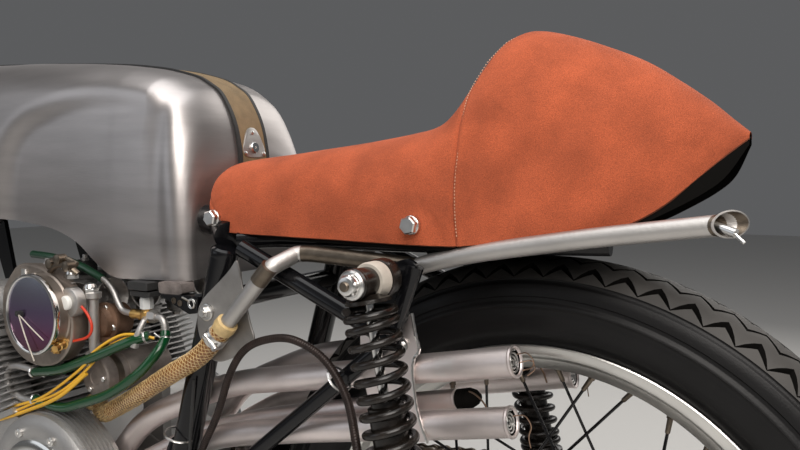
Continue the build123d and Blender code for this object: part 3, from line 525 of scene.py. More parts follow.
def build_seat():
    """The suede cover with its seam, creases and soft unevenness; the tail is open below."""
    points = skin(suede_table, seat_power, 262, 109, 0.06)
    x, z = points[..., 0], points[..., 2]
    side = np.sign(points[..., 1])
    points[..., 1] += side * ripple(points, 0.045, 1.5)
    points[..., 1] += side * ripple(points, 0.16, 0.35, 2.0)
    seam_x = np.interp(z, [q[1] for q in SEAM], [q[0] for q in SEAM])
    dent = np.exp(-((x - seam_x) / 1.7) ** 2)
    roll = np.exp(-((x - seam_x + 4) / 3.0) ** 2)
    points[..., 1] += side * (roll * 0.9 - dent * 1.6)
    rising = np.clip((z - 440) / 30, 0, 1) * (np.abs(points[..., 1]) > 12)
    points[..., 0] -= rising * dent * 1.3
    points[..., 2] -= rising * dent * 0.9
    for x0, z0, slope, wide, deep in ((338, 366, 1.5, 1.5, 1.5), (333, 372, -0.55, 1.5, 1.0),
            (306, 368, -0.3, 1.6, 0.8), (74, 356, 1.6, 2.6, 1.7), (86, 366, 2.2, 3.4, 1.2),
            (30, 352, -1.2, 4.0, 0.8), (-20, 372, 1.1, 5.0, 0.7)):
        run = (x - x0) * slope - (z - z0)
        reach = np.exp(-((x - x0) / 16) ** 2 - ((z - z0) / 22) ** 2)
        points[..., 1] -= side * deep * reach * np.exp(-(run / (wide * sqrt(1 + slope ** 2))) ** 2)
    outer = place(points)
    hem = place(points * (1, 0.97, 1) - (0, 0, 1.2))
    inner = place(skin(seat_table, seat_power, 262, 109, 0.06) * (1, 0.955, 1) - (0, 0, 4.5))
    edges = [np.stack([outer[:, 0], hem[:, 0]], axis=1), np.stack([hem[:, -1], outer[:, -1]], axis=1)]
    ends = ([tuple(q) for q in outer[0]], [tuple(range(outer.shape[1]))])
    piece("seat_cover", [(grid(outer), suede), (grid(inner[::3, ::3]), black_and_painted_shade),
        (ends, suede)] + [(grid(edge), suede_dark) for edge in edges], replaces=["seat"], crease=60)
    piece("seat_pan", [(prism([(342, 348), (342, 352), (80, 350), (80, 345)], -98, 98), black_and_painted_shade)])
    sections = np.array(seat_table[::-1], float)
    line = []
    for t in np.linspace(0.02, pi / 2, 600):
        z_here = 339 + (534 - 339) * sin(t) ** (2 / 2.5)
        x_here = float(np.interp(z_here, [q[1] for q in SEAM], [q[0] for q in SEAM]))
        x_here -= 2.6 - 2.2 * min(max((z_here - 440) / 40, 0), 1)
        low, high, half = (np.interp(x_here, sections[:, 0], sections[:, i]) for i in (1, 2, 3))
        up = min(max((z_here - low) / (high - low), 0), 1)
        n = seat_power(x_here)
        across = half * max(1 - up ** n, 0) ** (1 / n) * (1 - 0.06 * (1 - up) ** 2)
        line.append(at(x_here, across + 0.55, z_here + 0.2))
    line = resampled(line, 0.0015)
    stitches = merged([swept([a, b], 0.46, 6) for a, b in zip(line[::2], line[1::2])])
    piece("seat_stitches", [(stitches, thread), (mirrored(stitches), thread)])
    bolts = []
    for x_bolt, z_bolt, y_bolt in ((97, 357, 109.5), (337, 357, 107.5)):
        for hand in (1, -1):
            centre = at(x_bolt, hand * y_bolt, z_bolt)
            out = (0, hand, 0)
            bolts.append(lathe(centre, out, [(-3, 8.6), (1.4, 8.6), (2.0, 8.0)], 32))
            bolts.append(hexagon(centre + Vector(out) * 0.0018, out, 14.5, 6.5))
    piece("seat_bolts", [(bolts, zinc)], crease=20)


build_seat()

tank_table = (  # ahead, bottom, top, half width
    (375, 288, 408, 97), (375.5, 287.5, 424, 101), (377.5, 287, 438, 106), (382, 286.6, 458, 112),
    (390, 286, 477, 118), (404, 285.8, 498, 124.5), (420, 285.5, 509, 128), (440, 285, 519, 130.5),
    (477, 284, 529, 132), (497, 286.5, 533, 132), (514, 295, 535.5, 132), (531, 306, 538, 132),
    (557, 323, 541, 132), (600, 337, 545, 132), (658, 344, 549.5, 132), (700, 347.5, 552.5, 132),
    (760, 356, 556, 131), (820, 372, 560, 128),
    (876, 393, 562, 120), (920, 416, 552, 104), (946, 436, 534, 86), (960, 456, 516, 68),
    (966, 476, 496, 50),
)
knee_edge = ((720, 330), (705, 400), (688, 450), (650, 486), (590, 505), (524, 514), (460, 511), (424, 503),
    (400, 488), (387, 462), (381, 420), (379, 350), (379, 250), (740, 250))


def inside_depth(x, z, outline):
    """Distance inside an outline of (ahead, up) points, and 0 outside it."""
    outline = np.array(outline, float)
    nearest = np.full(x.shape, 1e9)
    inside = np.zeros(x.shape, bool)
    for (ax, az), (bx, bz) in zip(outline, np.roll(outline, -1, axis=0)):
        dx, dz = bx - ax, bz - az
        t = np.clip(((x - ax) * dx + (z - az) * dz) / (dx * dx + dz * dz), 0, 1)
        if not (az < 300 and bz < 300):
            nearest = np.minimum(nearest, np.hypot(x - ax - t * dx, z - az - t * dz))
        crosses = (az > z) != (bz > z)
        with np.errstate(divide="ignore", invalid="ignore"):
            inside ^= crosses & (x < dx * (z - az) / dz + ax)
    return np.where(inside, nearest, 0.0)


def tank_power(x):
    """How square the tank's shoulders are at this place."""
    return float(np.interp(x, (375, 440, 700, 966), (3.0, 4.2, 4.0, 2.6)))


def build_tank():
    """The tank's shell with its knee recesses, a near-black inner sheet of painted shade, and the filler
    cap.
    """
    points = skin(tank_table, tank_power, 280, 160, 0.05)
    edge = np.vstack([smooth_curve(knee_edge[:-2], 60), knee_edge[-2:]])
    depth = inside_depth(points[..., 0], points[..., 2], edge)
    side = np.sign(points[..., 1])
    soft = np.clip(depth / 46.0, 0, 1)
    hollow = 12.5 * (soft ** 3 * (10 - 15 * soft + 6 * soft * soft))
    wide = abs(points[..., 1]) > 60
    points[..., 1] -= side * hollow * wide
    outer = place(points)
    low, high = points[:, :1, 2], points[..., 2].max(axis=1, keepdims=True)
    # Painted shade: the inner sheet is near-black, for the shade inside and under the tank.
    lining = points * (1, 0.97, 1)
    lining[..., 2] -= 5 * (points[..., 2] - low) / (high - low)
    inner = place(lining)
    rim_left = np.stack([outer[:, 0], inner[:, 0]], axis=1)
    rim_right = np.stack([inner[:, -1], outer[:, -1]], axis=1)
    back = [tuple(p) for p in outer[0]]
    front = [tuple(p) for p in outer[-1]]
    caps = (back + front, [tuple(range(len(back))), tuple(range(len(back), len(back) * 2))[::-1]])
    piece("tank_shell", [(grid(outer), tank_metal), (grid(inner[::3, ::3]), black_and_painted_shade),
        (grid(rim_left), tank_metal), (grid(rim_right), tank_metal), (caps, tank_metal)],
        replaces=["fuel_tank"], crease=60)
    cap = [(-11, 29), (2, 29), (3.5, 27.5), (7, 27.5), (9, 25), (9.6, 0)]
    piece("filler_cap", [(lathe(at(845, -62, 554), (0, -0.31, 1), cap, 40), polished)])


build_tank()


# Frame, swinging arm and stand
def pair(mesh):
    """A shape and its mirror image."""
    return [mesh, mirrored(mesh)]


def plate(outline, y0, y1):
    """A flat plate between two places across the machine, with narrow bevels."""
    middle = np.array(outline, float).mean(axis=0)
    inner = []
    for q in np.array(outline, float):
        inward = middle - q
        inner.append(tuple(q + inward * 0.9 / max(np.hypot(*inward), 1)))
    edge = min(0.6, abs(y1 - y0) / 3)
    low, high = min(y0, y1), max(y0, y1)
    rings = []
    for shape, y in ((inner, low), (outline, low + edge), (outline, high - edge), (inner, high)):
        rings.append([at(x, y, z) for x, z in shape])
    return rings_mesh(rings)


def smooth_outline(points, steps=6, share=0.4):
    """A closed side outline with rounded corners."""
    out = []
    count = len(points)
    for i in range(count):
        a, b, c = (np.array(points[(i + k) % count], float) for k in (-1, 0, 1))
        start, end = b + (a - b) * share, b + (c - b) * share
        for k in range(steps + 1):
            t = k / steps
            q = (start * (1 - t) + b * t) * (1 - t) + (b * (1 - t) + end * t) * t
            out.append(tuple(q))
    return out


HEAD_BACK = 58.0 / cos(RAKE)


def head_point(z):
    """A point on the steering axis at this height over the floor, in mm from the rear axle."""
    return (WHEELBASE - HEAD_BACK - (z - FRONT_Z) * tan(RAKE), 0, z - REAR_Z)


def build_frame():
    posts = pair(rod((320.6, POST_Y, 324), (393, POST_Y, 74), 15, 32))
    pivot_plate = smooth_outline([(372, 112), (404, 112), (428, 60), (468, 34), (468, -28), (440, -60),
        (440, -104), (400, -104), (400, -40), (384, 20)], share=0.2)
    posts += pair(plate(pivot_plate, 106.5, 112.5))
    posts += [rod((337, -POST_Y, 268), (337, POST_Y, 268), 12), rod((446, -107, -58), (446, 107, -58), 9)]
    collar = lathe(at(319.8, POST_Y, 326.5), (0.278, 0, -0.96), [(0, 0), (0, 12), (2, 14.6), (4, 15.2),
        (9, 15.2), (10, 15)], 32)
    posts += pair(collar)
    piece("frame_post_tubes", [(posts, black)], replaces=["frame_posts"])
    rear = []
    for side in (1, -1):
        rear.append(tube([(308, side * 102, 334), (262, side * 78, 336), (90, side * 78, 338),
            (-70, side * 70, 343)], 9, 20, 0.3))
        rear.append(rod((296, side * RAIL_Y, 327), (116, side * RAIL_Y, 251), 9, 28))
        rear.append(rod((118, side * RAIL_Y, 252), (384, side * RAIL_Y, 30), 8, 28))
        rear.append(rod((92, side * RAIL_Y, 321), (120, side * RAIL_Y, 247), 8, 28))
        rear.append(rod((118, side * 101, 250), (118, side * RAIL_Y, 250), 9))
        lug = smooth_outline([(89, 322), (100, 328), (150, 308), (150, 278), (124, 250), (104, 262)],
            share=0.25)
        rear.append(plate(lug, side * 107, side * 113))
        rear.append(rod((114, side * RAIL_Y, 311), (114, side * 128, 311), 13, 28))
    rear.append(rod((87, -84, 331), (87, 84, 331), 7.5))
    piece("frame_rear_tubes", [(rear, black)], replaces=["frame_rear"])
    spine = []
    upper, lower = head_point(846), head_point(782)
    for side in (1, -1):
        spine.append(tube([(upper[0], side * 10, upper[2]), (900, side * 52, 462), (760, side * 66, 395),
            (355, side * 76, 352), (320, side * 102, 338)], 16, 24, 0.25))
        spine.append(tube([(lower[0], side * 10, lower[2]), (905, side * 60, 360), (800, side * 64, 335),
            (740, side * 66, 388)], 11, 20, 0.2))
        spine.append(plate([(776, 340), (812, 340), (776, 252), (752, 248)], side * 60, side * 66))
    spine.append(rod(head_point(762), head_point(872), 24, 36))
    for z in (762, 866):
        spine.append(rod(head_point(z), head_point(z + 6), 25.5, 36))
    piece("frame_spine_tubes", [(spine, black)], replaces=["frame_spine"])
    arm = [rod((440, -105.5, 5), (440, 105.5, 5), 21, 32)]
    ear = smooth_outline([(76, -11), (76, 11), (30, 19), (-24, 19), (-34, 8), (-34, -8), (-24, -19),
        (30, -19)], share=0.3)
    for side in (1, -1):
        arm += [rod((436, side * 90, 5), (52, side * 90, 0.6), 13, 28), plate(ear, side * 86, side * 94),
            rod((58, side * 91, 14), (58, side * 133, 14), 11),
            rod((58, side * 100, 14), (58, side * 166, 14), 6)]
    piece("arm_tubes", [(arm, black)], replaces=["swinging_arm"])
    bolts = []
    for x, z, r, across, end in ((440, 5, 9, 26, 124), (420, -82, 7, 22, 120)):
        bolts.append(rod((x, -end, z), (x, end, z), r))
        for side in (1, -1):
            bolts.append(hexagon(at(x, side * 112.5, z), (0, side, 0), across, 9))
    piece("frame_bolt_heads", [(bolts, zinc)], replaces=["frame_bolts"], crease=20)
    foot_z = 13.0 - REAR_Z
    stand = []
    for side in (1, -1):
        stand.append(rod((420, side * 84, -82), (450, side * 138, foot_z), 11, 24))
        stand.append(tube([(424, side * 138, foot_z), (450, side * 138, foot_z), (472, side * 138, foot_z)],
            13, 24))
    stand.append(rod((426.6, -95.9, -135), (426.6, 95.9, -135), 9))
    stand.append(rod((420, -105, -82), (420, 105, -82), 14, 28))
    piece("stand_tubes", [(stand, black)], "centre_stand", ["centre_stand"])


build_frame()


# Shock absorbers
SHOCK_Y = 158.0
SHOCK_TOP, SHOCK_FOOT = at(114, SHOCK_Y, 311), at(58, SHOCK_Y, 14)
SHOCK_LENGTH = (SHOCK_TOP - SHOCK_FOOT).length * 1000
SHOCK_DIR = (SHOCK_FOOT - SHOCK_TOP).normalized()


def build_shocks():
    def turned(profile, sides=36):
        return lathe(SHOCK_TOP, SHOCK_DIR, profile, sides)

    def on_pin(x, z, profile, sides=40):
        return lathe(at(x, 0, z), LEFT, profile, sides)

    body_top = 100.0
    low = SHOCK_LENGTH - 58
    dark = [
        on_pin(114, 311, [(126, 8), (126, 16.6), (127, 17.8), (137, 17.8), (139, 16.8), (139, 8)]),
        on_pin(114, 311, [(154, 8), (154, 12.4), (156, 12.9), (171.6, 12.9), (172.6, 12.2),
                          (173.6, 13.6), (176.6, 13.6), (178, 12.4), (178, 6)]),
        on_pin(58, 14, [(144, 7), (144, 15), (145, 16), (169, 16), (170, 15), (170, 7)]),
        turned([(11, 10), (13, 13), (14, 17), (14.6, 20.2), (17.6, 20.6), (18.2, 18), (18.6, 7)]),
        turned([(body_top, 4.4), (body_top, 10.4), (body_top + 1, 12.6), (body_top + 5, 12.8),
                (body_top + 6, 15.8), (low - 2, 16), (low, 24), (low + 1, 24.5), (low + 5, 24.5),
                (low + 6, 20), (low + 7, 14.5), (SHOCK_LENGTH - 26, 14.5), (SHOCK_LENGTH - 24, 10),
                (SHOCK_LENGTH - 10, 9)]),
    ]
    dark += [turned([(body_top + d, 15.9), (body_top + d + 0.8, 16.6), (body_top + d + 2.4, 16.6),
        (body_top + d + 3.2, 15.9)]) for d in (12, 40, 46)]
    shaft = turned([(12, 4.4), (body_top + 2, 4.4)])
    spacer = on_pin(114, 311, [(139.5, 8), (139.5, 15.6), (140.5, 16.4), (152, 16.4), (154.6, 15.2),
        (154.6, 8)])
    bright = [
        on_pin(114, 311, [(178, 7), (178, 12.2), (179.2, 12.9), (180.2, 12.6), (181.6, 10.8), (182, 6)]),
        on_pin(114, 311, [(181, 9.2), (186, 9.0), (188.4, 7.6), (189, 6.2), (189, 4)]),
        hexagon(at(114, 181, 311), LEFT, 17, 6.4),
        hexagon(at(58, 170, 14), LEFT, 17, 6),
    ]
    stud = on_pin(114, 311, [(126, 7), (180, 7), (181, 4.2), (190.6, 4.2), (191.4, 3.4), (191.4, 0)], 24)
    foot_stud = on_pin(58, 14, [(140, 6), (177, 6), (178, 5), (178, 0)], 24)
    piece("shock_parts", [(pair(merged(dark)), worn_black), (pair(merged(bright)), zinc),
        (pair(spacer), pale_rubber), (pair(shaft), chrome), (pair(merged([stud, foot_stud])), oily_and_shade)],
        replaces=["shock_dampers"], crease=32)
    turns, coil_r, wire_r = 16.6, 20.9, 3.5
    start, end = 18.6 + wire_r, low - wire_r - 0.2
    close, close_pitch = 1.6, wire_r * 2 + 0.3
    u = Vector(LEFT)
    v = SHOCK_DIR.cross(u).normalized()
    route = []
    steps = int(turns * 36)
    for i in range(steps + 1):
        turn = i / steps * turns
        if turn < close:
            height = turn * close_pitch
        elif turn > turns - close:
            height = (end - start) - (turns - turn) * close_pitch
        else:
            height = close * close_pitch + (turn - close) / (turns - 2 * close) * (
                end - start - 2 * close * close_pitch)
        a = 2 * pi * turn + 0.6
        route.append(SHOCK_TOP + SHOCK_DIR * ((start + height) / 1000) + (u * cos(a)
            + v * sin(a)) * (coil_r / 1000))
    coil = swept(route, wire_r, 12)
    piece("shock_coils", [(pair(coil), worn_black)], replaces=["shock_springs"])


build_shocks()


# Exhausts
def pipe_end(route, radius, swirl):
    """The open end of a pipe: rolled lip, inner wall and a spiral baffle."""
    end, before = route[0], route[1]
    inward, u, v = axis_frame(before - end)
    lip = lathe(end, inward, [(0.6, radius - 2.2), (-0.8, radius - 1.6), (-1.4, radius - 0.6),
        (-1.0, radius + 0.7), (0.8, radius + 0.9), (2.2, radius)], 36)
    # Painted shade: this inner wall and its closed bottom, 16 mm in, take a near-black finish for the shade
    # inside the pipe.
    wall = lathe(end, inward, [(16, 0), (16, radius - 1.8), (0, radius - 1.8)], 36)
    coil = []
    for i in range(150):
        t = i / 149
        a = t * 2 * pi * swirl
        r = (1.5 + t * (radius - 4.6)) / 1000
        coil.append(end + inward * ((3.6 - 2.6 * t) / 1000) + (u * cos(a) + v * sin(a)) * r)
    return open_ended(lip), open_ended(wall), swept(coil, 0.95, 8)


PIPES = (
    ((6, 88, 240.5), (200, 82, 201), (345, 75, 172), (470, 88, 116), (546, 92, 30), (546, 92, -106),
     (568, 92, -128), (814, 26, -128), (838, 26, -104), (838, 26, 150), (764, 26, 206)),
    ((73, 64, 190.5), (165, 62, 170), (322, 54, 130), (400, 74, 106), (500, 92, 50), (514, 92, -136),
     (536, 92, -158), (810, 78, -158), (834, 78, -134), (834, 78, 150), (764, 78, 206)),
    ((9, 88, 186.5), (98, 87, 168), (215, 83, 144), (352, 75, 112), (408, 78, 90), (440, 88, 70),
     (480, 92, 28), (482, 92, -166), (504, 92, -188), (806, 130, -188), (830, 130, -164),
     (830, 130, 150), (764, 130, 206)),
)
HANGER_EDGE = [(101, 276), (97, 256), (93.5, 243), (98.5, 235), (100.5, 224), (99, 206), (96, 188),
    (91, 172), (85, 158)]
HANGER = [(158, 272)] + HANGER_EDGE + [(128, 154), (150, 190), (158, 224)]


def build_exhaust(side, node):
    """One side's three stacked pipes, with their hanger, plug, wires and bolts."""
    steel, dark, bright = [], [], []
    for i, points in enumerate(PIPES):
        radius = 10.2 if i == 1 else 13.6
        route = rounded([at(x, side * y, z) for x, y, z in points], 0.3, 8)
        steel.append(open_ended(swept(route, radius, 32)))
        lip, wall, coil = pipe_end(route, radius, 3.2 if i != 1 else 2.2)
        steel.append(lip)
        # Painted shade: the near-black inner wall stands for the shade inside the pipe's end.
        dark.append(wall)
        bright.append(coil)
        top = at(764, side * points[-1][1], 206)
        steel.append(lathe(top, (route[-2] - top), [(-4, radius + 9), (2, radius + 9), (4, radius + 3),
            (12, radius + 1.5)], 32))
    hang = smooth_outline(HANGER, 5, 0.25)
    steel.append(plate(hang, side * 98, side * 101))
    weld_route = smooth_curve(np.array([(x, 0, z) for x, z in HANGER_EDGE]), 60)
    bright.append(swept([at(x, side * 101, z) for x, _, z in weld_route], [1.5 + 0.3 * sin(1.9 * i)
        for i in range(60)], 8))
    for x, z, across in ((140, 262, 11), (112, 246, 9)):
        bright.append(lathe(at(x, side * 101, z), (0, side, 0), [(0, 7), (1.2, 7), (1.6, 6)], 24))
        bright.append(hexagon(at(x, side * 102, z), (0, side, 0), across, 5))
    out = at(60, side * 64, 194) - at(73, side * 64, 190.5)
    dark.append(lathe(at(73, side * 64, 190.5), out, [(-2, 9.6), (9, 9.6), (10, 9), (11, 9.6), (15, 9.4),
        (21, 6.8), (25, 2.4), (25.4, 0)], 32))
    bright.append(lathe(at(73, side * 64, 190.5), out, [(-1.6, 10.2), (-1.0, 10.9), (0.4, 10.9),
        (0.8, 9.6)], 32))
    wires = [
        tube([(4, side * 88, 247), (-6, side * 92, 251), (-12, side * 90, 244), (-9, side * 86, 236),
              (0, side * 86, 233)], 0.55, 6),
        tube([(2, side * 88, 240), (-8, side * 84, 243), (-13, side * 88, 236), (-6, side * 90, 230)],
             0.55, 6),
        tube([(8, side * 88, 192), (-4, side * 90, 196), (-10, side * 88, 186), (-6, side * 87, 176),
              (-8, side * 86, 166)], 0.55, 6),
        tube([(68, side * 66, 200), (54, side * 70, 202), (40, side * 74, 194), (34, side * 74, 178)],
             0.9, 6),
    ]
    piece(node + "_pipes", [(steel, exhaust_metal), (dark, black_and_painted_shade), (wires, brown_wire),
        (bright, zinc)], replaces=[node], crease=30)


build_exhaust(1, "exhaust_left")
build_exhaust(-1, "exhaust_right")


# Breather: metal tube, braided hose and its clamp
def build_breather():
    front = [(297, 137, 250), (238, 137, 312.6), (226, 104, 326), (100, 93, 318)]
    run = rounded([at(*q) for q in front], 0.2)
    turn_end = next(i for i, q in enumerate(run) if q.x * 1000 - REAR_X < 223)
    # Painted shade: past the turn, under the seat, the same tube is coloured dark oily steel for the shade
    # on it.
    metal, painted_shade_run = swept(run[:turn_end + 1], 8.2, 28), swept(run[turn_end:], 8.2, 28)
    dark_sleeve = rod((251, 137, 299), (236.5, 137, 314.6), 8.7, 28)
    rear = [at(99, 93, 318), at(86, 93, 322.5), at(40, 93, 333.5), at(-60, 93, 350.5), at(-161, 93, 364.5)]
    route = resampled(rounded(rear, 0.3), 0.01)
    direction = (route[-1] - route[-2]).normalized()
    radii = [8.2] * len(route)
    for step, r in ((4, 8.3), (5, 9.0), (5, 10.5), (0.6, 9.3)):
        route.append(route[-1] + direction * (step / 1000))
        radii.append(r)
    outer = open_ended(swept(route, radii, 32))
    tip = route[-1]
    # Painted shade: the mouth's bore and its closed end are coloured dark for the shade inside.
    bore = swept([tip, tip - direction * 0.012, tip - direction * 0.03, tip - direction * 0.06],
        [9.3, 8.4, 7.0, 6.8], 32)
    inner = (bore[0], [f[::-1] for f in open_ended(bore)[1]] + [tuple(range(96, 128))])

    def slashed(mesh):
        """Cuts the mouth on a slant, the outer side shorter."""
        moved = []
        for p in mesh[0]:
            p = Vector(p)
            near = 1 - min(max((tip - p).dot(direction) / 0.036, 0), 1)
            moved.append(tuple(p - direction * (0.024 * near * (0.5 + (p.y - tip.y) / 0.021))))
        return moved, mesh[1]

    outer, inner = slashed(outer), slashed(inner)

    def inside(back, y, z):
        """A place this far back from the mouth and off the pipe's middle, in metres."""
        return tip - direction * back + Vector((0, y, z))

    stub = swept([inside(0.030, -0.002, 0.003), inside(0.008, 0.006, -0.007)], 3.6, 20)
    pin = swept([inside(0.010, 0.005, -0.006), inside(0.002, 0.008, -0.014)], 1.5, 10)
    piece("breather_metal", [(metal, dull), ([dark_sleeve, painted_shade_run], oily_and_shade), (outer, dull), (inner, oily_and_shade),
        ([stub, pin], zinc)], replaces=["breather_tube"])
    hose_points = [(296, 137, 251), (330, 137, 216), (378, 137, 190), (437, 128, 157), (498, 115, 127),
        (532, 100, 112), (560, 86, 118), (585, 76.5, 113.5)]
    hose_r, spacing, strand_turn = 10.2, 0.002, 0.050  # one in mm, two in metres along the hose
    hose = resampled(rounded([at(*q) for q in hose_points], 0.4, 12), spacing)
    skin_mesh = swept(hose, hose_r, 32)
    pairs = frames_along(hose)
    strands = []
    lengths = np.arange(len(hose)) * spacing
    for hand in (1, -1):
        for k in range(10):
            line = []
            for i in range(0, len(hose), 2):
                a = 2 * pi * k / 10 + hand * lengths[i] / strand_turn * 2 * pi
                u, v = pairs[i]
                line.append(hose[i] + (u * cos(a) + v * sin(a)) * (hose_r / 1000))
            strands.append(swept(line, 0.5, 4))
    clamp_axis = (at(330, 137, 215.3) - at(296, 137, 251)).normalized()
    clamp_at = at(300, 137, 246.8)
    clamp = lathe(clamp_at, clamp_axis, [(6, 10.4), (6, 11.4), (6.8, 11.9), (17, 11.9), (17.8, 11.4),
        (17.8, 10.4)], 40)
    side = clamp_axis.cross(Vector(LEFT)).normalized()
    box_at = clamp_at + clamp_axis * 0.012 + Vector((0, 0.011, 0)) - side * 0.004
    screw = lathe(box_at - side * 0.009, side, [(0, 0), (0, 3.4), (3, 3.6), (4, 2.6), (14, 2.6), (15, 3.4),
        (19, 3.4), (19, 0)], 16)
    cuff = lathe(at(294, 137, 253), clamp_axis, [(-4, 9.0), (-3, 11.2), (4, 11.8), (9, 10.6)], 36)
    piece("braided_hose", [(skin_mesh, amber), (cuff, braid), (strands, braid), ([clamp, screw], zinc)],
        replaces=["breather_hose"], crease=50)


build_breather()


# Brake cable in its armour, tied to the frame with wire
def tie(centre, axis, radius, wire=0.7):
    """Two turns of tie wire round a tube."""
    axis, u, v = axis_frame(axis)
    line = [centre + axis * (0.0012 * (t / (2 * pi) - 1)) + (u * cos(t) + v * sin(t)) * (radius / 1000)
        for t in np.linspace(0, 4 * pi, 60)]
    tail = line[-1] + (line[-1] - centre).normalized() * 0.006 + axis * 0.004
    return swept(line + [tail], wire, 6)


def build_cable():
    points = [(386, 124, -20), (372, 124, 40), (348, 124, 104), (322, 124, 152), (303, 124, 198),
        (283, 124, 225), (255, 124, 239), (220, 124, 243), (184, 123, 228), (150, 136, 200),
        (118, 168, 172), (107, 175, 132), (107, 166, 84), (112, 142, 44), (112, 118, 24)]
    route = resampled([Vector(q) / 1000 for q in smooth_curve([at(*q) * 1000 for q in points], 400)],
        0.0013)
    radii = [4.1 if i % 2 else 3.65 for i in range(len(route))]
    mesh = swept(route, radii, 14)
    ties = [tie(at(170, 119, 210), (-266, 0, 222), 13.5), tie(at(385, 116, 118), (0.28, 0, -0.96), 17)]
    thin = tube([(352, 126, 186), (358, 128, 120), (366, 128, 40), (378, 126, -10)], 1.8, 8)
    piece("cable_armour", [(mesh, armour), (ties, zinc), (thin, soft_black)], replaces=["brake_cable"],
        crease=25)


build_cable()


# Carburettors, their cover and the air fittings round it
def build_carburettors():
    bodies, caps, brights = [], [], []
    for y in CYLINDER_YS:
        axis = (-130, 0, 10)
        start = at(690, y, 242)
        bodies.append(lathe(start, axis, [(0, 15), (10, 15), (12, 21), (17, 21), (19, 16), (70, 16),
            (74, 18.5), (112, 18.5), (116, 16), (128, 16)], 32))
        brights.append(lathe(start, axis, [(126, 16), (140, 18.2), (149, 21.2), (151.5, 23.5), (153, 24),
            (153.6, 23), (151.5, 20.5), (140, 16), (128, 14), (90, 13.5), (90, 0)], 40))
        bodies.append(lathe(at(592, y, 246), (0.04, 0, -1), [(0, 15), (22, 15), (23, 17.5), (27, 17.5),
            (28, 15.5), (36, 14.5), (40, 11)], 28))
        brights.append(hexagon(at(593.8, y, 206), (0.04, 0, -1), 13, 5))
        bodies.append(lathe(at(592, y, 250), (-0.09, 0, 1), [(0, 15), (24, 15), (25, 16.4), (29, 16.4)],
            28))
        rings = [(29, 15.6)]
        for k in range(5):
            rings += [(29.6 + k * 2.2, 15.6), (30.2 + k * 2.2, 14.6), (31.2 + k * 2.2, 14.6)]
        caps.append(lathe(at(592, y, 250), (-0.09, 0, 1), rings + [(42, 15), (45, 11), (45.6, 5)], 28))
        brights.append(lathe(at(588, y, 294), (-0.09, 0, 1), [(0, 5), (3, 5), (5, 3.4), (9, 3)], 12))
    bodies.append(rod((608, -140, 272), (608, 140, 272), 6))
    piece("carburettor_bodies", [(bodies, cast), (caps, soft_black), (brights, dull)],
        replaces=["carburettors"], crease=30)


